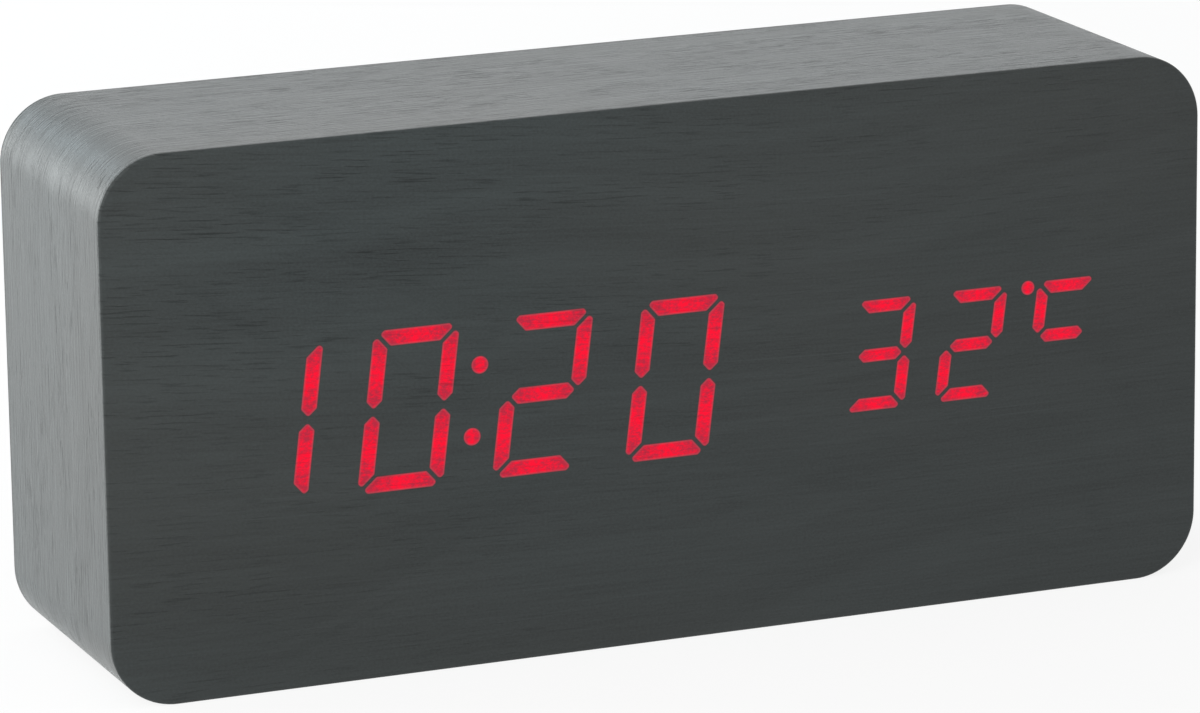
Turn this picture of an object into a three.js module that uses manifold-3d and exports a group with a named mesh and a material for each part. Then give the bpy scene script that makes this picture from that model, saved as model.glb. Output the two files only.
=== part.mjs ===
// A digital table clock: a block of board wrapped in dark veneer, with red figures that shine through
// its front. Sizes are in millimetres. X runs to the right as seen from the front, Y from the front to
// the back, and Z up. The origin is on the table, under the middle of the block.

import * as THREE from "three";
import { mergeVertices } from "three/addons/utils/BufferGeometryUtils.js";
import Module from "manifold-3d";

const wasm = await Module();
wasm.setup();

// The block and its veneer
const caseWidth = 150;
const caseHeight = 70;
const caseDepth = 40;
const caseCornerRadius = 8.5;
const veneerThickness = 0.5;
const glueGap = 0.1;
const blockSideWall = 8.4;
const blockFrontWall = 3;
const hollowCornerRadius = 9;

// The rear cover, laid into a step cut round the hollow
const ledgeWidth = 3;
const coverThickness = 2;
const coverCornerRadius = 4;
const coverClearance = 0.3;

// The figures: two sizes of seven-bar figure, all leaning alike, spread over the display's width
const displayMargin = 5.5;
const displayDrop = 0.5;
const firstFigureShare = 0.0595;
const bigFigureWidthShare = 0.095;
const bigFigurePitchShare = 0.1492;
const readingsPitchShare = 0.236;
const smallFigureWidthShare = 0.0717;
const smallFigurePitchShare = 0.1069;
const bigFigureHeight = 20.75;
const smallFigureHeight = 14.55;
const bigBarWidth = 2.08;
const smallBarWidth = 1.72;
const barGap = 0.5;
const figureLean = THREE.MathUtils.degToRad(7.5);
const colonDotDiameter = 2.4;
const colonDotRise = 4.58;
const degreeDotDiameter = 2;
const degreeDotRise = 6.6;
const degreeDotGapShare = 0.318;

// The cells and the bay that holds them
const cellCount = 4;
const cellDiameter = 10.5;
const cellLength = 44.5;
const cellGap = 0.4;
const bayWall = 1.8;

// How far the battery door laps past the bay, and how far its hooks reach past its opening
const doorLap = 1.2;
const hookReach = 1.6;

// The push buttons
const buttonDiameter = 6;
const buttonPitch = 13;
const buttonTravel = 0.6;

// How finely round shapes are divided
const caseCornerSteps = 10;
const smallCornerSteps = 4;
const roundSides = 16;
const smallRoundSides = 12;
const threadSides = 8;
const wireSides = 6;

// Shared clearances
const cutOverrun = 1;
const threadClearance = 0.1;
const slidingClearance = 0.2;
const assemblyClearance = 0.3;

// Places that several pieces share
const quarterTurn = Math.PI / 2;
const fullTurn = 2 * Math.PI;
const frontY = -caseDepth / 2;
const rearY = caseDepth / 2;
const middleZ = caseHeight / 2;
const blockFrontY = frontY + veneerThickness;
const blockRearY = rearY - veneerThickness;
const wallBackY = blockFrontY + blockFrontWall;
const coverInnerY = rearY - coverThickness;
const skinThickness = veneerThickness + glueGap;
const blockWidth = caseWidth - 2 * skinThickness;
const cellPitch = cellDiameter + cellGap;
const bayHeight = cellCount * cellPitch;
const hollowWidth = blockWidth - 2 * blockSideWall;
const hollowHeight = bayHeight + 2 * (doorLap + hookReach + assemblyClearance);
const recessWidth = hollowWidth + 2 * ledgeWidth;
const recessHeight = hollowHeight + 2 * ledgeWidth;

// Finishes
const finish = (color, roughness, metalness = 0) =>
  new THREE.MeshStandardMaterial({ color, roughness, metalness });
const veneerFinish = finish(0x434747, 0.45);
const boardFinish = finish(0x8a6b4c, 0.85);
const coverFinish = finish(0x1d1e20, 0.55);
const plasticFinish = finish(0x242527, 0.5);
const buttonFinish = finish(0x111214, 0.35);
const maskFinish = finish(0x0e0e10, 0.7);
const circuitFinish = finish(0x1f5a3a, 0.45);
const chipFinish = finish(0x17181a, 0.5);
const steelFinish = finish(0xb9bcc0, 0.3, 0.9);
const blackScrewFinish = finish(0x2a2b2d, 0.4, 0.7);
const cellFinish = finish(0x3c5f8a, 0.35, 0.2);
const connectorFinish = finish(0xe8e2d2, 0.5);
const ribbonFinish = finish(0x9aa0a6, 0.6);
const redWireFinish = finish(0xb3201c, 0.5);
const blackWireFinish = finish(0x1a1a1a, 0.5);
const litFinish = finish(0xff1f3d, 0.4);
litFinish.emissive.set(0xff1030);

// A closed three.js geometry as a solid that can be joined and cut.
function solid(geometry) {
  geometry.deleteAttribute("normal");
  geometry.deleteAttribute("uv");
  const merged = mergeVertices(geometry);
  return new wasm.Manifold(
    new wasm.Mesh({
      numProp: 3,
      vertProperties: merged.attributes.position.array,
      triVerts: new Uint32Array(merged.index.array),
    }),
  );
}

const join = (...solids) => solids.flat().reduce((sum, one) => sum.add(one));
const cut = (body, ...tools) => tools.flat().reduce((left, tool) => left.subtract(tool), body);

// A named piece in a group, moved to a place and turned about Z where that is asked for.
function addPiece(group, name, shape, material, place = [0, 0, 0], turnZ = 0) {
  const { vertProperties, triVerts } = shape.getMesh();
  const indexed = new THREE.BufferGeometry();
  indexed.setAttribute("position", new THREE.BufferAttribute(vertProperties, 3));
  indexed.setIndex(new THREE.BufferAttribute(triVerts, 1));
  const geometry = indexed.toNonIndexed();
  geometry.computeVertexNormals();
  const mesh = new THREE.Mesh(geometry, material);
  mesh.name = name;
  mesh.position.set(...place);
  mesh.rotation.z = turnZ;
  group.add(mesh);
}

// A group of pieces inside the clock.
function addGroup(parent, x, z) {
  const group = new THREE.Group();
  group.position.set(x, 0, z);
  parent.add(group);
  return group;
}

// A rectangle with round corners in X and Z, as a list of points.
function roundedOutline({ width, height, radius, z = 0, steps = smallCornerSteps }) {
  const corners = [[1, 1], [-1, 1], [-1, -1], [1, -1]];
  return corners.flatMap(([sideX, sideZ], corner) =>
    Array.from({ length: steps + 1 }, (_, step) => {
      const angle = (corner + step / steps) * quarterTurn;
      return new THREE.Vector2(
        sideX * (width / 2 - radius) + radius * Math.cos(angle),
        z + sideZ * (height / 2 - radius) + radius * Math.sin(angle),
      );
    }),
  );
}

// The block's own outline, moved inwards by an inset.
const caseOutline = (inset) =>
  roundedOutline({
    width: caseWidth - 2 * inset,
    height: caseHeight - 2 * inset,
    radius: caseCornerRadius - inset,
    z: middleZ,
    steps: caseCornerSteps,
  });

// An outline in X and Z, drawn out from y0 at the front to y1 at the back.
function slab(outline, y0, y1) {
  const geometry = new THREE.ExtrudeGeometry(new THREE.Shape(outline), {
    depth: y1 - y0,
    bevelEnabled: false,
  });
  geometry.rotateX(quarterTurn);
  geometry.translate(0, y1, 0);
  return solid(geometry);
}

// A box between two values on each axis.
function block(x0, x1, y0, y1, z0, z1) {
  const geometry = new THREE.BoxGeometry(x1 - x0, y1 - y0, z1 - z0);
  geometry.translate((x0 + x1) / 2, (y0 + y1) / 2, (z0 + z1) / 2);
  return solid(geometry);
}

// A box of a width and a height about a point in X and Z.
const blockAt = (x, z, width, height, y0, y1) =>
  block(x - width / 2, x + width / 2, y0, y1, z - height / 2, z + height / 2);

// Round bars along Y and along X.
function rodY(radius, x, z, y0, y1, sides = roundSides) {
  const geometry = new THREE.CylinderGeometry(radius, radius, y1 - y0, sides);
  geometry.translate(x, (y0 + y1) / 2, z);
  return solid(geometry);
}

function rodX(radius, y, z, x0, x1, sides = roundSides) {
  const geometry = new THREE.CylinderGeometry(radius, radius, x1 - x0, sides);
  geometry.rotateZ(quarterTurn);
  geometry.translate((x0 + x1) / 2, y, z);
  return solid(geometry);
}

// A tube of a round section that follows a curve.
function tube(curve, radius, steps, sides = wireSides) {
  const section = Array.from({ length: sides }, (_, side) => {
    const angle = (side / sides) * fullTurn;
    return new THREE.Vector2(radius * Math.cos(angle), radius * Math.sin(angle));
  });
  return solid(
    new THREE.ExtrudeGeometry(new THREE.Shape(section), {
      steps,
      extrudePath: curve,
      bevelEnabled: false,
    }),
  );
}

// A cross-head screw whose head bears on y = 0 and whose shank runs to +Y, or to -Y where toward is
// -1.
const crossLengthShare = 0.6;
const crossWidthShare = 0.16;
const crossDepthShare = 0.55;

function screw({ headRadius, headHeight, shankRadius, length, toward }) {
  const headEnd = -toward * headHeight;
  const crossFloor = headEnd + toward * headHeight * crossDepthShare;
  const crossMouth = headEnd - toward * cutOverrun;
  const crossLength = 2 * headRadius * crossLengthShare;
  const crossWidth = 2 * headRadius * crossWidthShare;
  const [crossY0, crossY1] = [crossFloor, crossMouth].sort((a, b) => a - b);
  const [headY0, headY1] = [headEnd, 0].sort((a, b) => a - b);
  const [shankY0, shankY1] = [headEnd / 2, toward * length].sort((a, b) => a - b);
  return join(
    cut(
      rodY(headRadius, 0, 0, headY0, headY1, smallRoundSides),
      blockAt(0, 0, crossLength, crossWidth, crossY0, crossY1),
      blockAt(0, 0, crossWidth, crossLength, crossY0, crossY1),
    ),
    rodY(shankRadius, 0, 0, shankY0, shankY1, threadSides),
  );
}

const clock = new THREE.Group();

// The display. One moulded mask has a cell for each bar. A milky light guide fills the cells of each
// figure, over light-emitting chips on a circuit board. The guides of the bars that are lit run on
// through the front veneer.
const tipShare = 0.25;
const maskMargin = 2;
const maskFlangeRise = 7.5;
const maskFlangeThickness = 4;
const maskWindowClearance = 0.3;
const maskSideClearance = 2;
const guideClearance = 0.1;
const guideMargin = 0.5;
const guideRecessDepth = 1.5;
const ledChipLength = 1.6;
const ledChipWidth = 0.8;
const ledChipHeight = 0.6;
const displayBoardThickness = 1.6;
const displayScrewInset = 4;
const displayScrew = { headRadius: 1.9, headHeight: 1.4, shankRadius: 1 };
const displayScrewBite = 2.2;

const displayZ = middleZ - displayDrop;
const displayBoardFrontY = wallBackY + maskFlangeThickness;
const displayBoardRearY = displayBoardFrontY + displayBoardThickness;
const guideRecessY = displayBoardFrontY - guideRecessDepth;
const guideFrontY = guideRecessY + guideClearance;
const guideRearY = displayBoardFrontY - ledChipHeight;

const displayWidth = hollowWidth - 2 * displayMargin;
const bigFigureWidth = displayWidth * bigFigureWidthShare;
const bigFigurePitch = displayWidth * bigFigurePitchShare;
const smallFigureWidth = displayWidth * smallFigureWidthShare;
const smallFigurePitch = displayWidth * smallFigurePitchShare;
const bigFigure = { width: bigFigureWidth, height: bigFigureHeight, bar: bigBarWidth };
const smallFigure = { width: smallFigureWidth, height: smallFigureHeight, bar: smallBarWidth };
const allBars = "abcdefg";
const bigX = (place) => displayWidth * (firstFigureShare - 0.5) + place * bigFigurePitch;
const smallX = (place) => bigX(3) + displayWidth * readingsPitchShare + place * smallFigurePitch;
const degreeDotOffset = smallFigureWidth / 2 + (smallFigurePitch - smallFigureWidth) * degreeDotGapShare;

const figures = [
  { name: "hours_tens", x: bigX(0), size: bigFigure, bars: allBars, lit: "bc" },
  { name: "hours_units", x: bigX(1), size: bigFigure, bars: allBars, lit: "abcdef" },
  { name: "minutes_tens", x: bigX(2), size: bigFigure, bars: allBars, lit: "abdeg" },
  { name: "minutes_units", x: bigX(3), size: bigFigure, bars: allBars, lit: "abcdef" },
  { name: "degrees_tens", x: smallX(0), size: smallFigure, bars: allBars, lit: "abcdg" },
  { name: "degrees_units", x: smallX(1), size: smallFigure, bars: allBars, lit: "abdeg" },
  {
    name: "celsius",
    x: smallX(2),
    size: smallFigure,
    bars: allBars,
    lit: "afg",
    dots: [{ x: -degreeDotOffset, z: degreeDotRise, diameter: degreeDotDiameter }],
  },
  {
    name: "colon",
    x: (bigX(1) + bigX(2)) / 2,
    size: { width: colonDotDiameter, height: 2 * colonDotRise + colonDotDiameter },
    bars: "",
    lit: "",
    dots: [-1, 1].map((side) => ({ x: 0, z: side * colonDotRise, diameter: colonDotDiameter })),
  },
];

// One bar of a figure, a long hexagon grown by a clearance. Its ends point to the outer side of the
// figure at the corners, and to the middle of the bar at half height.
function barOutline({ width, height, bar }, letter, grow) {
  const reachX = (width - bar) / 2;
  const reachZ = (height - bar) / 2;
  const endGap = barGap / Math.SQRT2;
  const cornerTip = bar * tipShare;
  const flat = { a: 1, d: -1, g: 0 }[letter];
  const half = bar / 2 + grow;
  const growTip = grow * Math.SQRT2;
  let start, end, tipStart, tipEnd, place;
  if (flat !== undefined) {
    tipStart = tipEnd = cornerTip * Math.abs(flat);
    end = reachX - endGap + tipEnd;
    start = -end;
    place = (along, across) =>
      flat < 0
        ? new THREE.Vector2(-along, -reachZ - across)
        : new THREE.Vector2(along, flat * reachZ + across);
  } else {
    const side = "bc".includes(letter) ? 1 : -1;
    const level = "bf".includes(letter) ? 1 : -1;
    tipStart = 0;
    tipEnd = cornerTip;
    start = endGap;
    end = reachZ - endGap + tipEnd;
    place = (along, across) => new THREE.Vector2(side * (reachX + across), level * along);
  }
  const outline = [
    [start - growTip, tipStart],
    [start - growTip + half + tipStart, -half],
    [end + growTip - half - tipEnd, -half],
    [end + growTip, tipEnd],
    [end + growTip - half + tipEnd, half],
    [start - growTip + half - tipStart, half],
  ].map(([along, across]) => place(along, across));
  return THREE.ShapeUtils.isClockWise(outline) ? outline.reverse() : outline;
}

const dotOutline = ({ x, z, diameter }, grow) =>
  Array.from({ length: smallRoundSides }, (_, side) => {
    const angle = (side / smallRoundSides) * fullTurn;
    const radius = diameter / 2 + grow;
    return new THREE.Vector2(x + radius * Math.cos(angle), z + radius * Math.sin(angle));
  });

// Leans an outline to the right and moves it to its figure's place.
const leaned = (outline, x) =>
  outline.map((point) => new THREE.Vector2(x + point.x + point.y * Math.tan(figureLean), point.y));

// A figure's bars and dots, each with its outline and whether it is lit.
const marksOf = ({ x, size, bars, lit, dots = [] }, grow = 0) => [
  ...[...bars].map((letter) => ({
    outline: leaned(barOutline(size, letter, grow), x),
    lit: lit.includes(letter),
  })),
  ...dots.map((dot) => ({ outline: leaned(dotOutline(dot, grow), x), lit: true })),
];

// The plate behind a figure that joins its light guides, grown by a clearance.
function guidePlate({ x, size, dots = [] }, grow = 0) {
  const margin = guideMargin + grow;
  const left = Math.min(-size.width / 2, ...dots.map((dot) => dot.x - dot.diameter / 2));
  const top = Math.max(size.height / 2, ...dots.map((dot) => dot.z + dot.diameter / 2));
  const corners = [
    [left - margin, -size.height / 2 - margin],
    [size.width / 2 + margin, -size.height / 2 - margin],
    [size.width / 2 + margin, top + margin],
    [left - margin, top + margin],
  ];
  return leaned(corners.map(([across, up]) => new THREE.Vector2(across, up)), x);
}

// The mask's raised middle, which fills the window in the block's front wall.
const maskHalfHeight = bigFigureHeight / 2 + maskMargin;
const leanReach = (height) => (height / 2) * Math.tan(figureLean);
const maskLeft = bigX(0) - bigFigureWidth / 2 - leanReach(bigFigureHeight) - maskMargin;
const maskRight = smallX(2) + smallFigureWidth / 2 + leanReach(smallFigureHeight) + maskMargin;
const maskFlangeWidth = hollowWidth - 2 * maskSideClearance;
const maskFlangeHeight = 2 * (maskHalfHeight + maskFlangeRise);
const displayScrewX = maskFlangeWidth / 2 - displayScrewInset;
const displayScrewZ = maskFlangeHeight / 2 - displayScrewInset;
const maskFlangeOutline = roundedOutline({
  width: maskFlangeWidth,
  height: maskFlangeHeight,
  radius: hollowCornerRadius - maskSideClearance,
});
const displayScrewPlaces = [[-1, 1], [1, 1], [-1, -1], [1, -1]].map(([sideX, sideZ]) => [
  sideX * displayScrewX,
  sideZ * displayScrewZ,
]);
const displayScrewHoles = (y0, y1, clearance) =>
  displayScrewPlaces.map(([x, z]) =>
    rodY(displayScrew.shankRadius + clearance, x, z, y0, y1, threadSides),
  );

function buildDisplay(parent) {
  const display = addGroup(parent, 0, displayZ);
  const cells = figures.flatMap((figure) =>
    marksOf(figure, guideClearance).map(({ outline }) =>
      slab(outline, blockFrontY - cutOverrun, displayBoardFrontY + cutOverrun),
    ),
  );
  const recesses = figures.map((figure) =>
    slab(guidePlate(figure, slidingClearance), guideRecessY, displayBoardFrontY + cutOverrun),
  );
  const mask = cut(
    join(
      block(maskLeft, maskRight, blockFrontY, displayBoardFrontY, -maskHalfHeight, maskHalfHeight),
      slab(maskFlangeOutline, wallBackY, displayBoardFrontY),
    ),
    cells,
    recesses,
    displayScrewHoles(wallBackY - cutOverrun, displayBoardFrontY + cutOverrun, slidingClearance),
  );
  addPiece(display, "segment_mask", mask, maskFinish);

  for (const figure of figures) {
    const guide = join(
      slab(guidePlate(figure), guideFrontY, guideRearY),
      marksOf(figure).map(({ outline, lit }) => slab(outline, lit ? frontY : blockFrontY, guideRearY)),
    );
    addPiece(display, `light_${figure.name}`, guide, litFinish);
  }

  const chips = figures.flatMap((figure) =>
    marksOf(figure).map(({ outline }) => {
      const middle = outline.reduce((sum, point) => sum.add(point), new THREE.Vector2());
      middle.divideScalar(outline.length);
      return blockAt(middle.x, middle.y, ledChipLength, ledChipWidth, guideRearY, displayBoardRearY);
    }),
  );
  const board = cut(
    join(slab(maskFlangeOutline, displayBoardFrontY, displayBoardRearY), chips),
    displayScrewHoles(displayBoardFrontY - cutOverrun, displayBoardRearY + cutOverrun, slidingClearance),
  );
  addPiece(display, "display_board", board, circuitFinish);

  const shape = screw({
    ...displayScrew,
    length: displayBoardRearY - wallBackY + displayScrewBite,
    toward: -1,
  });
  displayScrewPlaces.forEach(([x, z], index) => {
    addPiece(display, `display_screw_${index + 1}`, shape, steelFinish, [x, displayBoardRearY, z]);
  });
}

// The case: a milled block, the veneer wrapped round it, the front sheet and the rim at the back.
const coverScrewInset = 3.7;
const coverScrew = { headRadius: 2.2, headHeight: 1.2, shankRadius: 1.3 };
const coverScrewLength = 9;
const pilotOverrun = 0.5;
const coverScrewSeatY = rearY - coverScrew.headHeight - slidingClearance;
const coverScrewPlaces = [[-1, 1], [1, 1], [-1, -1], [1, -1]].map(([sideX, sideZ]) => [
  sideX * (recessWidth / 2 - coverScrewInset),
  middleZ + sideZ * (recessHeight / 2 - coverScrewInset),
]);

function buildCase(parent) {
  const hollow = roundedOutline({
    width: hollowWidth,
    height: hollowHeight,
    radius: hollowCornerRadius,
    z: middleZ,
  });
  const recess = roundedOutline({
    width: recessWidth,
    height: recessHeight,
    radius: coverCornerRadius,
    z: middleZ,
  });
  const window = block(
    maskLeft - maskWindowClearance,
    maskRight + maskWindowClearance,
    blockFrontY - cutOverrun,
    wallBackY + cutOverrun,
    displayZ - maskHalfHeight - maskWindowClearance,
    displayZ + maskHalfHeight + maskWindowClearance,
  );
  const displayPilots = displayScrewHoles(
    wallBackY - displayScrewBite - assemblyClearance,
    wallBackY + cutOverrun,
    threadClearance,
  ).map((hole) => hole.translate([0, 0, displayZ]));
  const coverPilots = coverScrewPlaces.map(([x, z]) =>
    rodY(
      coverScrew.shankRadius + threadClearance,
      x,
      z,
      coverScrewSeatY - coverScrewLength - pilotOverrun,
      rearY,
      threadSides,
    ),
  );
  const core = cut(
    slab(caseOutline(skinThickness), blockFrontY, blockRearY),
    slab(hollow, wallBackY, rearY),
    slab(recess, coverInnerY, rearY),
    window,
    displayPilots,
    coverPilots,
  );
  addPiece(parent, "case_core", core, boardFinish);

  const wrap = cut(
    slab(caseOutline(0), blockFrontY, blockRearY),
    slab(caseOutline(veneerThickness), frontY, rearY),
  );
  addPiece(parent, "case_wrap", wrap, veneerFinish);

  const litWindows = figures.flatMap((figure) =>
    marksOf(figure, guideClearance)
      .filter(({ lit }) => lit)
      .map(({ outline }) => slab(outline, frontY - cutOverrun, blockFrontY + cutOverrun)),
  );
  const frontSheet = cut(
    slab(caseOutline(0), frontY, blockFrontY),
    litWindows.map((window) => window.translate([0, 0, displayZ])),
  );
  addPiece(parent, "front_veneer", frontSheet, veneerFinish);

  const rim = cut(
    slab(caseOutline(0), blockRearY, rearY),
    slab(recess, blockRearY - cutOverrun, rearY + cutOverrun),
  );
  addPiece(parent, "rear_rim_veneer", rim, veneerFinish);
}

// The battery bay: a tray behind the rear cover, four cells side by side, their contacts, and a door
// on two hooks.
const contactThickness = 0.4;
const contactSize = 8;
const dimpleHeight = 0.5;
const dimpleRadius = 2;
const springLength = 4.4;
const springBaseRadius = 3.2;
const springTipRadius = 2.2;
const springTurns = 4;
const springWireRadius = 0.3;
const springStepsPerTurn = 8;
const springSides = 5;
const tabWidth = 3;
const tabReach = 1.6;
const cellNubRadius = 1.9;
const cellNubHeight = 1;
const cellSeatGap = 0.1;
const cellDoorGap = 0.4;
const bayFloor = 1.5;
const ribHeight = 1.8;
const ribWidth = 1.2;
const ribEndGap = 6;
const earLength = 3.9;
const earHeight = 10;
const earThickness = 1.6;
const stakeRadius = 1;
const stakeHeadRadius = 1.7;
const stakeHeadHeight = 1;
const doorClearance = 0.2;
const hookWidth = 6;
const hookSpacing = 30;
const hookThickness = 1.4;
const hookDrop = 2;
const latchWidth = 10;
const latchDepth = 2.2;
const latchThickness = 1.6;
const tongueWidth = 14;
const tongueLength = 10;
const tongueSlit = 0.9;
const tongueSink = 0.5;
const gripRidges = 4;
const gripRidgeWidth = 0.9;
const gripRidgePitch = 2;
const thumbNotchRadius = 7;
const thumbNotchRise = 2.4;
const thumbNotchDepth = 0.9;

const bayLength = 2 * contactThickness + dimpleHeight + cellLength + springLength;
const bayX = -hollowWidth / 2 + hollowCornerRadius + bayWall + bayLength / 2;
const doorInnerY = coverInnerY + doorClearance;
const cellY = doorInnerY - cellDoorGap - cellDiameter / 2;
const bayFloorY = cellY - cellDiameter / 2 - cellSeatGap;
const bayFrontY = bayFloorY - bayFloor;
const cellZ = (index) => (index - (cellCount - 1) / 2) * cellPitch;
const cellTurned = (index) => index % 2 === 1;
const openingLength = bayLength + 2 * doorLap;
const openingHeight = bayHeight + 2 * doorLap;
const doorLength = openingLength - 2 * doorClearance;
const doorHeight = openingHeight - 2 * doorClearance;
const hookTopY = coverInnerY - doorClearance;
const hookInnerY = hookTopY - hookThickness;
const latchInnerY = coverInnerY - latchDepth;
const earCentreX = bayLength / 2 + bayWall + earLength / 2;
const tabEndY = bayFrontY - tabReach;

// A conical spring: a wire wound from a wide base at one end of the bay to a narrow tip at the cell.
class SpringWire extends THREE.Curve {
  constructor(end, z) {
    super();
    this.end = end;
    this.z = z;
  }

  getPoint(t, target = new THREE.Vector3()) {
    const angle = t * springTurns * fullTurn;
    const radius = THREE.MathUtils.lerp(springBaseRadius, springTipRadius, t);
    const base = bayLength / 2 - contactThickness;
    const tip = base - springLength + springWireRadius + cellSeatGap;
    return target.set(
      this.end * THREE.MathUtils.lerp(base, tip, t),
      cellY + radius * Math.cos(angle),
      this.z + radius * Math.sin(angle),
    );
  }
}

// A contact against one end wall: a plate, with a dimple for each cell's nub and a spring for each
// cell's flat end.
function contact({ end, dimpleAt = [], springAt = [], tabAt = [] }) {
  const wallX = (end * bayLength) / 2;
  const faceX = wallX - end * contactThickness;
  const rows = [...dimpleAt, ...springAt].map(cellZ);
  const [x0, x1] = [wallX, faceX].sort((a, b) => a - b);
  const plate = block(
    x0,
    x1,
    cellY - contactSize / 2,
    cellY + contactSize / 2,
    Math.min(...rows) - contactSize / 2,
    Math.max(...rows) + contactSize / 2,
  );
  const dimples = dimpleAt.map((index) => {
    const [dimpleX0, dimpleX1] = [wallX, faceX - end * dimpleHeight].sort((a, b) => a - b);
    return rodX(dimpleRadius, cellY, cellZ(index), dimpleX0, dimpleX1, smallRoundSides);
  });
  const springSteps = springTurns * springStepsPerTurn;
  const springs = springAt.map((index) =>
    tube(new SpringWire(end, cellZ(index)), springWireRadius, springSteps, springSides),
  );
  const tabs = tabAt.map((index) =>
    block(x0, x1, tabEndY, cellY, cellZ(index) - tabWidth / 2, cellZ(index) + tabWidth / 2),
  );
  return join(plate, dimples, springs, tabs);
}

function cell() {
  const tipX = cellLength / 2;
  const shoulderX = tipX - cellNubHeight;
  return join(
    rodX(cellDiameter / 2, 0, 0, -tipX, shoulderX),
    rodX(cellNubRadius, 0, 0, 0, tipX, smallRoundSides),
  );
}

const hookPlaces = [-1, 1].map((side) => (side * hookSpacing) / 2);

function tray() {
  const outerLength = bayLength + 2 * bayWall;
  const outerHeight = bayHeight + 2 * bayWall;
  const shell = cut(
    join(
      blockAt(0, 0, outerLength, outerHeight, bayFrontY, coverInnerY),
      blockAt(0, 0, outerLength + 2 * earLength, earHeight, coverInnerY - earThickness, coverInnerY),
    ),
    blockAt(0, 0, bayLength, bayHeight, bayFloorY, coverInnerY + cutOverrun),
  );
  const ribs = Array.from({ length: cellCount - 1 }, (_, index) =>
    blockAt(
      0,
      (cellZ(index) + cellZ(index + 1)) / 2,
      bayLength - 2 * ribEndGap,
      ribWidth,
      bayFloorY - bayFloor / 2,
      bayFloorY + ribHeight,
    ),
  );
  const hookNotches = hookPlaces.map((x) =>
    block(
      x - hookWidth / 2 - doorClearance * 2,
      x + hookWidth / 2 + doorClearance * 2,
      hookInnerY - 2 * assemblyClearance,
      coverInnerY + cutOverrun,
      -bayHeight / 2 - bayWall - cutOverrun,
      -bayHeight / 2 + cutOverrun,
    ),
  );
  const latchNotch = block(
    -latchWidth / 2 - 2 * doorClearance,
    latchWidth / 2 + 2 * doorClearance,
    latchInnerY - 2 * assemblyClearance,
    coverInnerY + cutOverrun,
    bayHeight / 2 - cutOverrun,
    bayHeight / 2 + bayWall + cutOverrun,
  );
  const tabSlots = [0, cellCount - 1].map((index) =>
    block(
      -bayLength / 2,
      -bayLength / 2 + contactThickness + assemblyClearance,
      bayFrontY - cutOverrun,
      bayFloorY + cutOverrun,
      cellZ(index) - tabWidth / 2 - assemblyClearance,
      cellZ(index) + tabWidth / 2 + assemblyClearance,
    ),
  );
  const stakeHoles = [-1, 1].map((side) =>
    rodY(
      stakeRadius + slidingClearance,
      side * earCentreX,
      0,
      coverInnerY - earThickness - cutOverrun,
      coverInnerY + cutOverrun,
      threadSides,
    ),
  );
  return cut(join(shell, ribs), hookNotches, latchNotch, tabSlots, stakeHoles);
}

function door() {
  const bottom = -doorHeight / 2;
  const top = doorHeight / 2;
  const openingBottom = -openingHeight / 2;
  const slits = [-1, 1].map((side) =>
    blockAt(
      (side * (tongueWidth + tongueSlit)) / 2,
      top - tongueLength / 2 + cutOverrun / 2,
      tongueSlit,
      tongueLength + cutOverrun,
      doorInnerY - cutOverrun,
      rearY + cutOverrun,
    ),
  );
  const sunk = blockAt(
    0,
    top - tongueLength / 2 + cutOverrun / 2,
    tongueWidth,
    tongueLength + cutOverrun,
    rearY - tongueSink,
    rearY + cutOverrun,
  );
  const ridges = Array.from({ length: gripRidges }, (_, index) =>
    blockAt(
      0,
      top - tongueLength / 2 + (index - (gripRidges - 1) / 2) * gripRidgePitch,
      tongueWidth - 2 * tongueSlit,
      gripRidgeWidth,
      doorInnerY + tongueSink,
      rearY,
    ),
  );
  const hookRoot = bottom + hookDrop;
  const hookTip = openingBottom - hookReach;
  const hooks = hookPlaces.map((x) => {
    const sides = [x - hookWidth / 2, x + hookWidth / 2];
    return join(
      block(...sides, hookInnerY, rearY - tongueSink, bottom, hookRoot),
      block(...sides, hookInnerY, hookTopY, hookTip, hookRoot),
    );
  });
  const latchTop = openingHeight / 2 - assemblyClearance;
  const latch = block(
    -latchWidth / 2,
    latchWidth / 2,
    latchInnerY,
    rearY - 2 * tongueSink,
    latchTop - latchThickness,
    latchTop,
  );
  return join(
    cut(blockAt(0, 0, doorLength, doorHeight, doorInnerY, rearY), slits, sunk),
    ridges,
    hooks,
    latch,
  );
}

function buildBatteryBay(parent) {
  const bay = addGroup(parent, bayX, middleZ);
  addPiece(bay, "battery_tray", tray(), plasticFinish);

  const shape = cell();
  const cellShift = bayLength / 2 - contactThickness - dimpleHeight - cellLength / 2;
  for (let index = 0; index < cellCount; index++) {
    const turned = cellTurned(index);
    const place = [turned ? -cellShift : cellShift, cellY, cellZ(index)];
    addPiece(bay, `battery_cell_${index + 1}`, shape, cellFinish, place, turned ? Math.PI : 0);
  }

  const last = cellCount - 1;
  addPiece(bay, "contact_negative", contact({ end: -1, springAt: [0], tabAt: [0] }), steelFinish);
  addPiece(bay, "contact_positive", contact({ end: -1, dimpleAt: [last], tabAt: [last] }), steelFinish);
  for (let index = 0; index < last; index++) {
    const end = cellTurned(index) ? -1 : 1;
    const link = contact({ end, dimpleAt: [index], springAt: [index + 1] });
    addPiece(bay, `contact_link_${index + 1}`, link, steelFinish);
  }
  addPiece(bay, "battery_door", door(), coverFinish);
}

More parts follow.
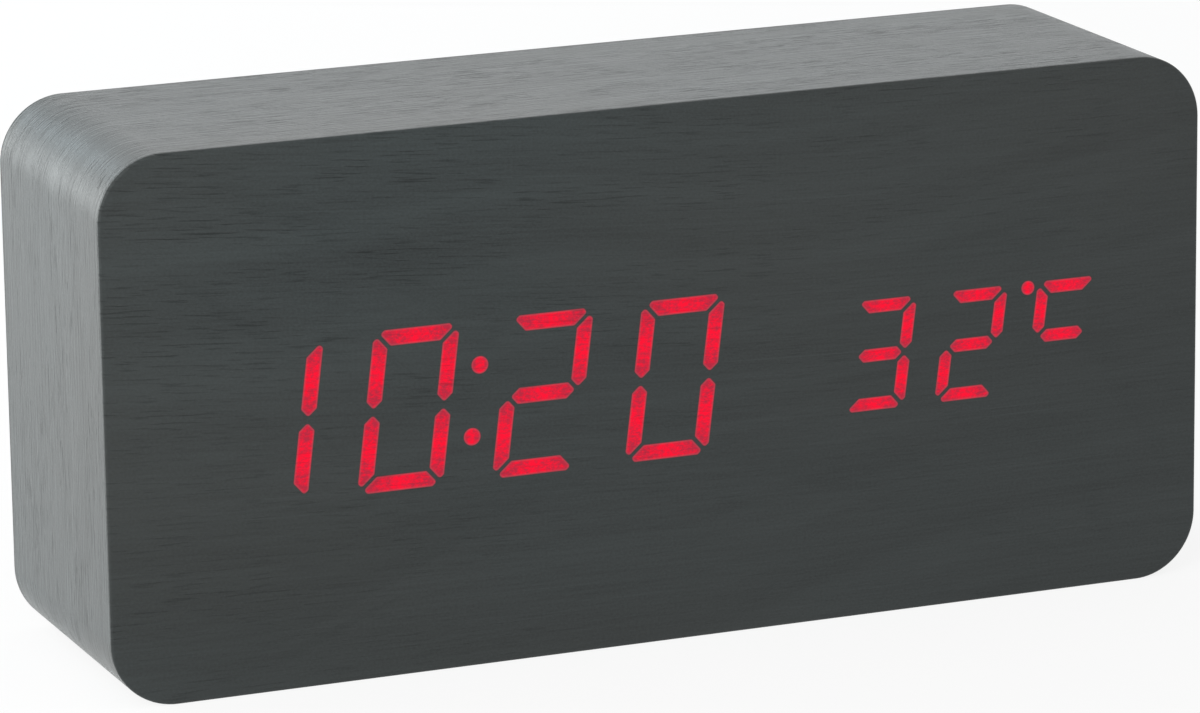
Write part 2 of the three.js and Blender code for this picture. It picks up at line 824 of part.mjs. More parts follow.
// The controls: a circuit board on posts behind the rear cover, with the switches, the socket and the
// sounder.
const standoff = 8.5;
const mainBoardThickness = 1.6;
const mainBoardSideGap = 3;
const mainBoardBayGap = 3.5;
const mainBoardHeightGap = 3.2;
const postRadius = 2.5;
const postInset = 4;
const boardScrew = { headRadius: 2, headHeight: 1.4, shankRadius: 1 };
const boardScrewBite = 5.5;
const buttonRowDrop = 11;
const buttonSink = 0.3;
const buttonFlange = 1;
const buttonFlangeThickness = 1;
const buttonDishWidth = 1.4;
const buttonDishDepth = 0.7;
const stemRadius = 1.6;
const switchSize = 6;
const switchHeight = 3.5;
const plungerRadius = 1.7;
const plungerRise = 1.2;
const plungerSunk = 0.8;
const jackInset = 6.5;
const jackRise = 10;
const jackSize = 9;
const jackNeckRadius = 3.3;
const jackBoreRadius = 1.85;
const jackFloor = 1.2;
const jackPinRadius = 0.65;
const jackPinSunk = 1.5;
const buzzerInset = 8;
const buzzerRise = 10;
const buzzerRadius = 6;
const buzzerHeight = 6.2;
const buzzerHoleRadius = 1.2;
const buzzerHoleDepth = 1.5;
const soundSlots = 5;
const soundSlotWidth = 1.1;
const soundSlotLength = 9;
const soundSlotPitch = 2.5;
const microphoneRise = 17;
const microphoneRadius = 3;
const microphoneHeight = 2.7;
const microphoneGap = 0.8;
const microphoneHoleRadius = 0.8;
const microphoneDishRadius = 2;
const microphoneDishDepth = 0.6;
const leadRadius = 0.3;
const leadSpacing = 2.5;
const thermistorInset = 5.5;
const thermistorRise = 20;
const thermistorRadius = 1.4;
const thermistorGap = 0.8;
const ventSlots = 3;
const ventSlotWidth = 0.9;
const ventSlotLength = 5;
const ventSlotPitch = 2;
const capacitorRadius = 3.15;
const capacitorHeight = 5.5;
const capacitorInset = 6;
const capacitorRise = 20.5;
const chipLength = 12.8;
const chipWidth = 7.5;
const chipHeight = 2.2;
const chipLift = 0.2;
const chipLegs = 8;
const chipLegWidth = 0.45;
const chipLegReach = 1.1;
const chipLegPitch = 1.5;
const crystalRadius = 1.5;
const crystalLength = 6.2;
const crystalDrop = 9;
const connectorLength = 10;
const connectorWidth = 5.5;
const connectorHeight = 5;
const connectorInset = 6.5;
const connectorRise = 12;
const ribbonWidth = 8;
const ribbonThickness = 0.8;
const ribbonStraightShare = 0.2;
const ribbonRiseShare = 1.14;
const ribbonSteps = 14;

const mainBoardRearY = coverInnerY - standoff;
const mainBoardFrontY = mainBoardRearY - mainBoardThickness;
const mainBoardLeft = bayX + bayLength / 2 + bayWall + earLength + mainBoardBayGap;
const mainBoardRight = hollowWidth / 2 - mainBoardSideGap;
const boardX = (mainBoardLeft + mainBoardRight) / 2;
const boardHalfWidth = (mainBoardRight - mainBoardLeft) / 2;
const boardHalfHeight = hollowHeight / 2 - mainBoardHeightGap;
const postPlaces = [
  [-boardHalfWidth + postInset, boardHalfHeight - postInset],
  [boardHalfWidth - postInset, boardHalfHeight - postInset],
  [0, -boardHalfHeight + postInset],
];
const buttonZ = boardHalfHeight - buttonRowDrop;
const buttons = ["down", "up", "set"].map((name, index) => ({ name, x: (index - 1) * buttonPitch }));
const buttonFaceY = rearY - buttonSink;
const buttonFlangeY = coverInnerY - assemblyClearance;
const switchTopY = mainBoardRearY + switchHeight;
const plungerTopY = switchTopY + plungerRise;
const jackPlace = [boardHalfWidth - jackInset, -boardHalfHeight + jackRise];
const buzzerPlace = [-boardHalfWidth + buzzerInset, -boardHalfHeight + buzzerRise];
const microphonePlace = [0, -boardHalfHeight + microphoneRise];
const thermistorPlace = [boardHalfWidth - thermistorInset, -boardHalfHeight + thermistorRise];
const capacitorPlace = [-boardHalfWidth + capacitorInset, -boardHalfHeight + capacitorRise];
const connectorX = -boardHalfWidth + connectorInset;
const boardConnectorFrontY = mainBoardFrontY - connectorHeight;
const displayConnectorRearY = displayBoardRearY + connectorHeight;
const connectorsGap = boardConnectorFrontY - displayConnectorRearY;
const boardConnectorZ = -boardHalfHeight + connectorRise;
const displayConnectorZ = boardConnectorZ + connectorsGap * ribbonRiseShare;

// The rear cover: a plate with the door's opening, the buttons' holes, and posts and stakes on its
// inner side.
function cover() {
  const plate = slab(
    roundedOutline({
      width: recessWidth - 2 * coverClearance,
      height: recessHeight - 2 * coverClearance,
      radius: coverCornerRadius - coverClearance,
    }),
    coverInnerY,
    rearY,
  );
  const through = [coverInnerY - cutOverrun, rearY + cutOverrun];
  const posts = postPlaces.map(([x, z]) =>
    rodY(postRadius, boardX + x, z, mainBoardRearY, coverInnerY + coverThickness / 2),
  );
  const stakes = [-1, 1].flatMap((side) => {
    const x = bayX + side * earCentreX;
    const earY = coverInnerY - earThickness;
    return [
      rodY(stakeRadius, x, 0, earY - stakeHeadHeight, coverInnerY + coverThickness / 2, threadSides),
      rodY(stakeHeadRadius, x, 0, earY - stakeHeadHeight, earY, smallRoundSides),
    ];
  });
  const screwHoles = coverScrewPlaces.flatMap(([x, z]) => [
    rodY(coverScrew.shankRadius + slidingClearance, x, z - middleZ, ...through, threadSides),
    rodY(
      coverScrew.headRadius + assemblyClearance,
      x,
      z - middleZ,
      coverScrewSeatY,
      rearY + cutOverrun,
      smallRoundSides,
    ),
  ]);
  const postPilots = postPlaces.map(([x, z]) =>
    rodY(
      boardScrew.shankRadius + threadClearance,
      boardX + x,
      z,
      mainBoardRearY - cutOverrun,
      mainBoardRearY + boardScrewBite + pilotOverrun,
      threadSides,
    ),
  );
  const doorOpening = blockAt(bayX, 0, openingLength, openingHeight, ...through);
  const thumbNotch = rodY(
    thumbNotchRadius,
    bayX,
    openingHeight / 2 + thumbNotchRise - thumbNotchRadius,
    rearY - thumbNotchDepth,
    rearY + cutOverrun,
  );
  const buttonHoles = buttons.flatMap(({ x }) => [
    rodY(buttonDiameter / 2 + slidingClearance, boardX + x, buttonZ, ...through),
    rodY(
      buttonDiameter / 2 + buttonDishWidth,
      boardX + x,
      buttonZ,
      rearY - buttonDishDepth,
      rearY + cutOverrun,
    ),
  ]);
  const [jackX, jackZ] = jackPlace;
  const jackHole = rodY(jackNeckRadius + assemblyClearance, boardX + jackX, jackZ, ...through);
  const [buzzerX, buzzerZ] = buzzerPlace;
  const soundHoles = Array.from({ length: soundSlots }, (_, index) =>
    blockAt(
      boardX + buzzerX + (index - (soundSlots - 1) / 2) * soundSlotPitch,
      buzzerZ,
      soundSlotWidth,
      soundSlotLength,
      ...through,
    ),
  );
  const [microphoneX, microphoneZ] = microphonePlace;
  const microphoneHole = [
    rodY(microphoneHoleRadius, boardX + microphoneX, microphoneZ, ...through, smallRoundSides),
    rodY(
      microphoneDishRadius,
      boardX + microphoneX,
      microphoneZ,
      rearY - microphoneDishDepth,
      rearY + cutOverrun,
      smallRoundSides,
    ),
  ];
  const [thermistorX, thermistorZ] = thermistorPlace;
  const vents = Array.from({ length: ventSlots }, (_, index) =>
    blockAt(
      boardX + thermistorX,
      thermistorZ + (index - (ventSlots - 1) / 2) * ventSlotPitch,
      ventSlotLength,
      ventSlotWidth,
      ...through,
    ),
  );
  return cut(
    join(plate, posts, stakes),
    screwHoles,
    postPilots,
    doorOpening,
    thumbNotch,
    buttonHoles,
    jackHole,
    soundHoles,
    microphoneHole,
    vents,
  );
}

function buildRearCover(parent) {
  const rear = addGroup(parent, 0, middleZ);
  addPiece(rear, "rear_cover", cover(), coverFinish);
  const shape = screw({ ...coverScrew, length: coverScrewLength, toward: -1 });
  coverScrewPlaces.forEach(([x, z], index) => {
    const place = [x, coverScrewSeatY, z - middleZ];
    addPiece(rear, `rear_screw_${index + 1}`, shape, blackScrewFinish, place);
  });
}

function switchBody() {
  const boreDepth = plungerSunk + buttonTravel + assemblyClearance;
  return cut(
    blockAt(0, 0, switchSize, switchSize, 0, switchHeight),
    rodY(plungerRadius + slidingClearance, 0, 0, switchHeight - boreDepth, switchHeight + cutOverrun),
  );
}

function button() {
  const flangeFront = buttonFlangeY - buttonFlangeThickness;
  return join(
    rodY(buttonDiameter / 2, 0, 0, flangeFront, buttonFaceY),
    rodY(buttonDiameter / 2 + buttonFlange, 0, 0, flangeFront, buttonFlangeY),
    rodY(stemRadius, 0, 0, plungerTopY, buttonFaceY - buttonFlangeThickness),
  );
}

// A socket for a round plug: a body on the board, a neck through the cover, a bore and the pin in its
// middle.
function jack() {
  const mouthY = rearY - buttonSink;
  const boreFloor = mainBoardRearY + jackFloor;
  return join(
    cut(
      join(
        blockAt(0, 0, jackSize, jackSize, mainBoardRearY, coverInnerY - assemblyClearance),
        rodY(jackNeckRadius, 0, 0, mainBoardRearY, mouthY),
      ),
      rodY(jackBoreRadius, 0, 0, boreFloor, mouthY + cutOverrun),
    ),
    rodY(jackPinRadius, 0, 0, (mainBoardRearY + boreFloor) / 2, mouthY - jackPinSunk, smallRoundSides),
  );
}

function buzzer() {
  const top = mainBoardRearY + buzzerHeight;
  return cut(
    rodY(buzzerRadius, 0, 0, mainBoardRearY, top),
    rodY(buzzerHoleRadius, 0, 0, top - buzzerHoleDepth, top + cutOverrun, smallRoundSides),
  );
}

// A part held over the board by two stiff wire leads that run into its underside.
const onLeads = (head, headY) =>
  join(
    head,
    [-1, 1].map((side) => rodY(leadRadius, (side * leadSpacing) / 2, 0, mainBoardRearY, headY, wireSides)),
  );

function microphone() {
  const top = coverInnerY - microphoneGap;
  const bottom = top - microphoneHeight;
  return onLeads(rodY(microphoneRadius, 0, 0, bottom, top), bottom + microphoneHeight / 2);
}

function thermistor() {
  const headY = coverInnerY - thermistorGap - thermistorRadius;
  const bead = new THREE.SphereGeometry(thermistorRadius, smallRoundSides, smallRoundSides / 2);
  bead.translate(0, headY, 0);
  return onLeads(solid(bead), headY);
}

function clockChip() {
  const top = mainBoardFrontY - chipLift - chipHeight;
  const legY = mainBoardFrontY - chipLift - chipHeight / 2;
  const legs = [-1, 1].flatMap((side) =>
    Array.from({ length: chipLegs }, (_, index) =>
      blockAt(
        (index - (chipLegs - 1) / 2) * chipLegPitch,
        (side * (chipWidth + chipLegReach)) / 2,
        chipLegWidth,
        chipLegReach + 2 * chipLift,
        legY,
        mainBoardFrontY,
      ),
    ),
  );
  return join(blockAt(0, 0, chipLength, chipWidth, top, mainBoardFrontY - chipLift), legs);
}

// The crystal's can lies along the board on two leads bent down at one end.
function crystal() {
  const canY = mainBoardFrontY - crystalRadius - threadClearance;
  const leads = [-1, 1].flatMap((side) => {
    const z = (side * crystalRadius) / 2;
    const bendX = -crystalLength / 2 - leadSpacing / 2;
    return [
      rodX(leadRadius, canY, z, bendX - leadRadius, 0, wireSides),
      rodY(leadRadius, bendX, z, canY, mainBoardFrontY, wireSides),
    ];
  });
  return join(rodX(crystalRadius, canY, 0, -crystalLength / 2, crystalLength / 2, smallRoundSides), leads);
}

// A flat cable from one connector to the other, straight at both ends and stepped up between them.
function ribbon() {
  const fromY = boardConnectorFrontY - assemblyClearance;
  const toY = displayConnectorRearY + assemblyClearance;
  const straight = connectorsGap * ribbonStraightShare;
  const curve = new THREE.CatmullRomCurve3([
    new THREE.Vector3(connectorX, fromY, boardConnectorZ),
    new THREE.Vector3(connectorX, fromY - straight, boardConnectorZ),
    new THREE.Vector3(connectorX, toY + straight, displayConnectorZ),
    new THREE.Vector3(connectorX, toY, displayConnectorZ),
  ]);
  const section = [[-1, -1], [1, -1], [1, 1], [-1, 1]].map(
    ([along, across]) => new THREE.Vector2((along * ribbonWidth) / 2, (across * ribbonThickness) / 2),
  );
  return solid(
    new THREE.ExtrudeGeometry(new THREE.Shape(section), {
      steps: ribbonSteps,
      extrudePath: curve,
      bevelEnabled: false,
    }),
  );
}

// An insulated wire from a battery contact's tab, along the front of the tray, to the circuit board.
const wireRadius = 0.65;
const wireLaneDrop = 2.2;
const wireBend = 3;
const wireEndGap = 2.5;
const wireTurnShare = 0.25;
const wireSteps = 18;

function batteryWire(row) {
  const tabX = bayX - bayLength / 2 + contactThickness / 2;
  const startY = tabEndY - assemblyClearance;
  const laneY = startY - wireLaneDrop;
  const endX = mainBoardLeft + postInset + postRadius + wireEndGap;
  const endY = mainBoardFrontY - assemblyClearance;
  const z = cellZ(row);
  return tube(
    new THREE.CatmullRomCurve3(
      [
        [tabX, startY],
        [tabX + wireBend * wireTurnShare, laneY + wireLaneDrop * wireTurnShare],
        [tabX + wireBend, laneY],
        [(tabX + endX) / 2, laneY],
        [endX - wireBend, laneY],
        [endX, laneY + wireBend],
        [endX, endY],
      ].map(([x, y]) => new THREE.Vector3(x, y, z)),
    ),
    wireRadius,
    wireSteps,
  );
}

function buildControls(parent) {
  const controls = addGroup(parent, boardX, middleZ);
  const board = cut(
    blockAt(0, 0, 2 * boardHalfWidth, 2 * boardHalfHeight, mainBoardFrontY, mainBoardRearY),
    postPlaces.map(([x, z]) =>
      rodY(
        boardScrew.shankRadius + slidingClearance,
        x,
        z,
        mainBoardFrontY - cutOverrun,
        mainBoardRearY + cutOverrun,
        threadSides,
      ),
    ),
  );
  addPiece(controls, "main_board", board, circuitFinish);

  const boardScrewShape = screw({
    ...boardScrew,
    length: mainBoardThickness + boardScrewBite,
    toward: 1,
  });
  postPlaces.forEach(([x, z], index) => {
    addPiece(controls, `board_screw_${index + 1}`, boardScrewShape, steelFinish, [x, mainBoardFrontY, z]);
  });

  const plunger = rodY(plungerRadius, 0, 0, -plungerSunk, plungerRise);
  for (const { name, x } of buttons) {
    addPiece(controls, `${name}_button`, button(), buttonFinish, [x, 0, buttonZ]);
    addPiece(controls, `${name}_plunger`, plunger, plasticFinish, [x, switchTopY, buttonZ]);
    addPiece(controls, `${name}_switch`, switchBody(), chipFinish, [x, mainBoardRearY, buttonZ]);
  }

  const at = ([x, z]) => [x, 0, z];
  addPiece(controls, "dc_jack", jack(), plasticFinish, at(jackPlace));
  addPiece(controls, "buzzer", buzzer(), chipFinish, at(buzzerPlace));
  addPiece(controls, "microphone", microphone(), steelFinish, at(microphonePlace));
  addPiece(controls, "thermistor", thermistor(), chipFinish, at(thermistorPlace));
  addPiece(controls, "clock_chip", clockChip(), chipFinish);
  addPiece(controls, "crystal", crystal(), steelFinish, [chipLength / 2, 0, -crystalDrop]);
  const capacitor = rodY(capacitorRadius, 0, 0, mainBoardRearY, mainBoardRearY + capacitorHeight);
  addPiece(controls, "capacitor", capacitor, steelFinish, at(capacitorPlace));

  const boardConnector = blockAt(
    connectorX,
    boardConnectorZ,
    connectorLength,
    connectorWidth,
    boardConnectorFrontY,
    mainBoardFrontY,
  );
  addPiece(controls, "board_connector", boardConnector, connectorFinish);
  const displayConnector = blockAt(
    connectorX,
    displayConnectorZ,
    connectorLength,
    connectorWidth,
    displayBoardRearY,
    displayConnectorRearY,
  );
  addPiece(controls, "display_connector", displayConnector, connectorFinish);
  addPiece(controls, "ribbon_cable", ribbon(), ribbonFinish);

  const wires = addGroup(parent, 0, middleZ);
  addPiece(wires, "battery_wire_negative", batteryWire(0), blackWireFinish);
  addPiece(wires, "battery_wire_positive", batteryWire(cellCount - 1), redWireFinish);
}

buildCase(clock);
buildDisplay(clock);
buildBatteryBay(clock);
buildRearCover(clock);
buildControls(clock);

export default clock;
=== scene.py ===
# %% [markdown]
# # A veneered block clock
# The clock is a block of board wrapped in dark wood veneer. Red figures shine through its front,
# and a black plastic cover at its back holds the battery door, three push buttons and the power
# socket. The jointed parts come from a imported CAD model. This file adds the fine surfaces, the
# finishes, the light and the camera. Shapes are worked out in millimetres and become metres when a
# mesh is made.

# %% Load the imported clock
import math

import bmesh
import bpy
import numpy as np
from mathutils import Matrix, Vector
from mathutils.geometry import delaunay_2d_cdt


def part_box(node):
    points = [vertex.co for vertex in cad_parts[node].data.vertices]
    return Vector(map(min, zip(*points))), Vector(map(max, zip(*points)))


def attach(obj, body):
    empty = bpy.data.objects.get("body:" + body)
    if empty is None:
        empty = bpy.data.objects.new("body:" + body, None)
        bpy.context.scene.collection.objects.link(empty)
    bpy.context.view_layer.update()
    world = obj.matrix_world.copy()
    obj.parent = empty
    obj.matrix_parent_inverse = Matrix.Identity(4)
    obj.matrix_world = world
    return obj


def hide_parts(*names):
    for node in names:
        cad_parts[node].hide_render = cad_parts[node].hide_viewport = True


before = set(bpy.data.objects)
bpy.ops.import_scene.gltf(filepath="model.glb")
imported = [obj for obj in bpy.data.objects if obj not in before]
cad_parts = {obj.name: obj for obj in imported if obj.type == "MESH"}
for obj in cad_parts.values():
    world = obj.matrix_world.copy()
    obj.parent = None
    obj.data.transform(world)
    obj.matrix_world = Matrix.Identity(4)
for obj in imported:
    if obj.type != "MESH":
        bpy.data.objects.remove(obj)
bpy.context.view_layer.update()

MM = 0.001
FULL_TURN = 2 * math.pi

# %% [markdown]
# ## The camera
# A long lens from a little above and to the left sees the front, the top and the left side. The
# camera's axes are worked out from three angles: how far it looks to the right, how far down, and
# how far it is rolled.

# %% Camera
VIEW_YAW = math.radians(22.2607)
VIEW_PITCH = math.radians(14.1289)
VIEW_ROLL = math.radians(-0.7432)
VIEW_PLACE = (-312.43, -760.35, 239.77)
FILM_WIDTH = 36
LENS = 196.53


def camera_axes(yaw, pitch, roll):
    """Right, up and back of a camera: it looks along the yaw and pitch, then turns about that
    line."""
    ahead = Vector(
        (math.sin(yaw) * math.cos(pitch), math.cos(yaw) * math.cos(pitch), -math.sin(pitch))
    )
    level = Vector((math.cos(yaw), -math.sin(yaw), 0))
    up = level.cross(ahead)
    right = level * math.cos(roll) + up * math.sin(roll)
    return right, up * math.cos(roll) - level * math.sin(roll), -ahead


camera = bpy.data.objects.new("camera", bpy.data.cameras.new("camera"))
camera.data.sensor_width = FILM_WIDTH
camera.data.lens = LENS
camera.matrix_world = Matrix.Translation(Vector(VIEW_PLACE) * MM) @ Matrix(
    camera_axes(VIEW_YAW, VIEW_PITCH, VIEW_ROLL)
).transposed().to_4x4()
bpy.context.scene.collection.objects.link(camera)
bpy.context.scene.camera = camera
print("camera at", [round(x, 3) for x in camera.location])

# %% [markdown]
# ## Shader nodes with less typing
# Every finish here is a small network of nodes. Wiring them by hand takes several lines for each
# node, so a few helpers keep the networks readable. The main one adds a node, and fills its inputs
# with plain values or links them to other nodes. The others are short names for common nodes.

# %% Helpers for single nodes
# A Mix node has sockets for every kind of value. These numbers are those of its colours.
MIX_FIRST, MIX_SECOND, MIX_RESULT = 6, 7, 2


def feed(tree, socket, value):
    """Fills an input: another node's socket is linked to it, and a plain value is set."""
    if isinstance(value, bpy.types.NodeSocket):
        tree.links.new(value, socket)
    else:
        socket.default_value = value


def add_node(tree, kind, inputs=None, **settings):
    """A shader node of a kind, with its settings and then its inputs filled."""
    made = tree.nodes.new("ShaderNode" + kind)
    for name, value in settings.items():
        setattr(made, name, value)
    for name, value in (inputs or {}).items():
        feed(tree, made.inputs[name], value)
    return made


def maths(tree, operation, *values):
    """The output of a Math node on numbers or sockets."""
    return add_node(tree, "Math", dict(enumerate(values)), operation=operation).outputs[0]


def between(tree, value, low, high, to_low=0.0, to_high=1.0):
    """A value's place from low to high, stretched over a new range and held inside it."""
    inputs = {"Value": value, 1: low, 2: high, 3: to_low, 4: to_high}
    return add_node(tree, "MapRange", inputs).outputs[0]


def blend_colours(tree, share, first, second):
    """Two colours mixed by a share. A plain colour is red, green and blue, and gets an alpha
    of 1."""
    made = add_node(tree, "Mix", {0: share}, data_type="RGBA")
    for number, colour in ((MIX_FIRST, first), (MIX_SECOND, second)):
        linked = isinstance(colour, bpy.types.NodeSocket)
        feed(tree, made.inputs[number], colour if linked else (*colour, 1))
    return made.outputs[MIX_RESULT]


print("helpers for single nodes ready")

# %% [markdown]
# ### Patterns
# No real surface is one flat colour. Most of the variety here comes from noise, a cloud of values
# about one half. Stretched by a different amount along each axis, the same noise becomes grain,
# streaks or specks. It is read at the place of each point in the clock's own frame, so it keeps
# its size when the clock moves. A pattern can also tilt the light with a Bump node, which is
# cheaper than real relief and enough for texture as fine as this.

# %% Helpers for patterns
# Nearly all values of a noise lie in this range.
NOISE_RANGE = (0.3, 0.7)


def object_place(tree):
    """The place of a point in the clock's own frame, in metres."""
    return add_node(tree, "TexCoord").outputs["Object"]


def stretched(tree, place, scale):
    """A place multiplied by a scale along each axis."""
    inputs = {0: place, 1: scale}
    return add_node(tree, "VectorMath", inputs, operation="MULTIPLY").outputs[0]


def noise(tree, place, scale, detail=2.0, roughness=0.5):
    """Noise whose features are 1/scale long on each axis."""
    inputs = {"Vector": stretched(tree, place, scale), "Scale": 1.0, "Detail": detail}
    inputs["Roughness"] = roughness
    return add_node(tree, "TexNoise", inputs).outputs["Fac"]


def varied(tree, mask, colour, darkest, palest):
    """A colour times a share that runs from the darkest to the palest with a noise."""
    dark, pale = ([value * share for value in colour] for share in (darkest, palest))
    return blend_colours(tree, between(tree, mask, *NOISE_RANGE), dark, pale)


def raise_surface(tree, shader, height, distance):
    """Links a height to the shader's normal through a Bump node. The distance is how many metres a
    height of one stands for."""
    inputs = {"Height": height, "Distance": distance, "Strength": 1.0}
    tree.links.new(add_node(tree, "Bump", inputs).outputs[0], shader.inputs["Normal"])


print("helpers for patterns ready")

# %% [markdown]
# ### Groups and finishes
# A node group is the shader's version of a function: an effect that several finishes share is
# built once, with named inputs and outputs, and each material places it with values of its own. A
# finish is a material whose Principled shader gets its plain values first and its patterns
# afterwards.


# %% Helpers for groups and finishes
def new_group(name, inputs, outputs):
    """A node group's tree with its entry and exit nodes. Inputs are (name, kind, value) and
    outputs are (name, kind)."""
    tree = bpy.data.node_groups.new(name, "ShaderNodeTree")
    for label, kind, value in inputs:
        socket = tree.interface.new_socket(label, in_out="INPUT", socket_type="NodeSocket" + kind)
        if value is not None:
            socket.default_value = value
    for label, kind in outputs:
        tree.interface.new_socket(label, in_out="OUTPUT", socket_type="NodeSocket" + kind)
    return tree, tree.nodes.new("NodeGroupInput"), tree.nodes.new("NodeGroupOutput")


def use_group(tree, group, inputs):
    """The outputs of a node group placed in a material."""
    return add_node(tree, "Group", inputs, node_tree=group).outputs


def new_finish(name, **settings):
    """A material, its node tree and its Principled shader with plain values set on its own
    sockets."""
    material = bpy.data.materials.new(name)
    material.use_nodes = True
    tree = material.node_tree
    shader = tree.nodes["Principled BSDF"]
    for label, value in settings.items():
        shader.inputs[label.replace("_", " ")].default_value = value
    return material, tree, shader


print("helpers for groups and finishes ready")

# %% [markdown]
# ## The floor and the light
# The clock stands on a pale floor in a plain studio. The world is an even soft light, and it shows
# as white to the camera and in reflections. A soft box at the front left shapes the front. A
# second one, low behind the left side, is what the satin veneer mirrors there at a shallow angle:
# its sheen is why the top and the side look paler than the front, although all are the same wood.
# A small strip, higher up, draws the cool pale streak along the rounded edge between them. A
# lamp's level is found with a matt grey on the clock, and is right where that grey renders about
# as it is written.

# %% Floor and world
FLOOR_SIZE = 6.0
FLOOR_COLOUR = (0.86, 0.86, 0.86, 1)
FLOOR_GLOW_SHARE = 0.8
FLOOR_GLOW = 1.07
WORLD_LEVEL = 0.45


def seen_directly(tree):
    """One for rays from the camera, from a mirror or through glass, and zero for all others."""
    seen = add_node(tree, "LightPath").outputs
    direct = maths(tree, "MAXIMUM", seen["Is Camera Ray"], seen["Is Glossy Ray"])
    return maths(tree, "MAXIMUM", direct, seen["Is Transmission Ray"])


def build_floor():
    """A flat square. Its material mixes a matt white with a plain white glow that only the camera
    and mirror or glass rays see, so it looks white and still keeps the clock's soft shadow."""
    half = FLOOR_SIZE / 2
    corners = [(-half, -half, 0), (half, -half, 0), (half, half, 0), (-half, half, 0)]
    mesh = bpy.data.meshes.new("floor")
    mesh.from_pydata(corners, [], [(0, 1, 2, 3)])
    floor = bpy.data.objects.new("floor", mesh)
    bpy.context.scene.collection.objects.link(floor)
    material, tree, shader = new_finish("floor_white", Base_Color=FLOOR_COLOUR, Roughness=0.9)
    share = maths(tree, "MULTIPLY", seen_directly(tree), FLOOR_GLOW_SHARE)
    glow = add_node(tree, "Emission", {"Color": (1, 1, 1, 1), "Strength": FLOOR_GLOW})
    mixed = add_node(tree, "MixShader", {0: share, 1: shader.outputs[0], 2: glow.outputs[0]})
    tree.links.new(mixed.outputs[0], tree.nodes["Material Output"].inputs[0])
    mesh.materials.append(material)


def build_world():
    """An even grey light that the camera, mirrors and glass see as white."""
    world = bpy.data.worlds.new("studio")
    world.use_nodes = True
    tree = world.node_tree
    level = between(tree, seen_directly(tree), 0.0, 1.0, WORLD_LEVEL, 1.0)
    tree.links.new(level, tree.nodes["Background"].inputs["Strength"])
    tree.nodes["Background"].inputs["Color"].default_value = (1, 1, 1, 1)
    bpy.context.scene.world = world


build_floor()
build_world()
bpy.context.scene.view_settings.view_transform = "Standard"
print("floor", FLOOR_SIZE, "m wide, world at", WORLD_LEVEL)

# %% Soft boxes
# name, place, point it faces, width, height (all in metres), radiance, colour
SOFT_BOXES = (
    ("front_left_box", (-0.34, -0.38, 0.26), (-0.04, 0, 0.04), 0.24, 0.24, 6.5, (0.97, 1.0, 1.0)),
    ("rear_left_box", (-0.76, 0.76, 0.18), (-0.06, 0, 0.03), 0.90, 0.34, 10.0, (0.96, 1.0, 1.0)),
    ("edge_strip", (-0.29, 1.00, 0.45), (-0.06, 0, 0.06), 0.26, 0.12, 18.0, (0.74, 0.91, 1.0)),
)


def add_soft_box(name, place, target, width, height, radiance, colour):
    """A flat lamp of a width and height that faces a point. Its power is radiance x area x pi."""
    data = bpy.data.lights.new(name, "AREA")
    data.shape = "RECTANGLE"
    data.size = width
    data.size_y = height
    data.energy = radiance * width * height * math.pi
    data.color = colour
    lamp = bpy.data.objects.new(name, data)
    facing = (Vector(target) - Vector(place)).to_track_quat("-Z", "Y")
    lamp.matrix_world = Matrix.Translation(place) @ facing.to_matrix().to_4x4()
    lamp.visible_camera = False
    bpy.context.scene.collection.objects.link(lamp)


for box in SOFT_BOXES:
    add_soft_box(*box)
print(len(SOFT_BOXES), "soft boxes")

# %% [markdown]
# ## Shapes from outlines and profiles
# Almost every piece of the clock is a flat outline with a rounded edge: the veneer sheet, the
# cover, the bars of the figures. So one recipe serves them all. An outline is a function of how
# far it is moved inwards, a profile is a list of such insets with the depth at which each one
# lies, and together they give rings of points. Neighbouring rings are joined by quads, and the
# flat faces between an outer ring and its holes are filled with triangles. A cube with a Bevel
# modifier could make a plain box, but here every hole gets its own rounded rim, at its exact size.


# %% Outlines
def outline(corners, radius, inset=0.0, steps=6):
    """A convex outline with round corners, moved inwards by an inset, or outwards where it is
    negative. A corner is an arc of radius (radius - inset) about a centre that lies inside both of
    its edges by the radius, drawn from one edge's outward normal to the next one's."""
    corners = np.asarray(corners, float)
    along = np.roll(corners, -1, 0) - corners
    along /= np.linalg.norm(along, axis=1)[:, None]
    after = np.stack([along[:, 1], -along[:, 0]], 1)
    before = np.roll(after, 1, 0)
    inward = (before + after) / (1 + (before * after).sum(1))[:, None]
    centres = corners - max(radius, inset) * inward
    start = np.arctan2(before[:, 1], before[:, 0])
    turn = (np.arctan2(after[:, 1], after[:, 0]) - start) % FULL_TURN
    angles = start[:, None] + turn[:, None] * np.linspace(0, 1, steps)
    arcs = np.stack([np.cos(angles), np.sin(angles)], -1) * max(radius - inset, 0)
    return (centres[:, None] + arcs).reshape(-1, 2)


def round_shape(x, z, radius, sides=48):
    """A circle about a centre, as a function of its inset: centre + (radius - inset) x
    direction."""
    angles = np.linspace(0, FULL_TURN, sides, endpoint=False)
    ring = np.stack([np.cos(angles), np.sin(angles)], 1)
    return lambda inset: np.array([x, z]) + (radius - inset) * ring


def box_shape(x0, x1, z0, z1, radius, steps=6):
    """A rectangle with round corners, as a function of its inset."""
    corners = [(x0, z0), (x1, z0), (x1, z1), (x0, z1)]
    return lambda inset: outline(corners, radius, inset, steps)


def box_at(x, z, width, height, radius, steps=6):
    """A rectangle with round corners about a centre, as a function of its inset."""
    reach_x, reach_z = width / 2, height / 2
    return box_shape(x - reach_x, x + reach_x, z - reach_z, z + reach_z, radius, steps)


print("outline of a 10 x 4 rectangle:", len(box_at(0, 0, 10, 4, 1)(0)), "points")


# %% Profiles
EDGE_SUPPORT = 0.04


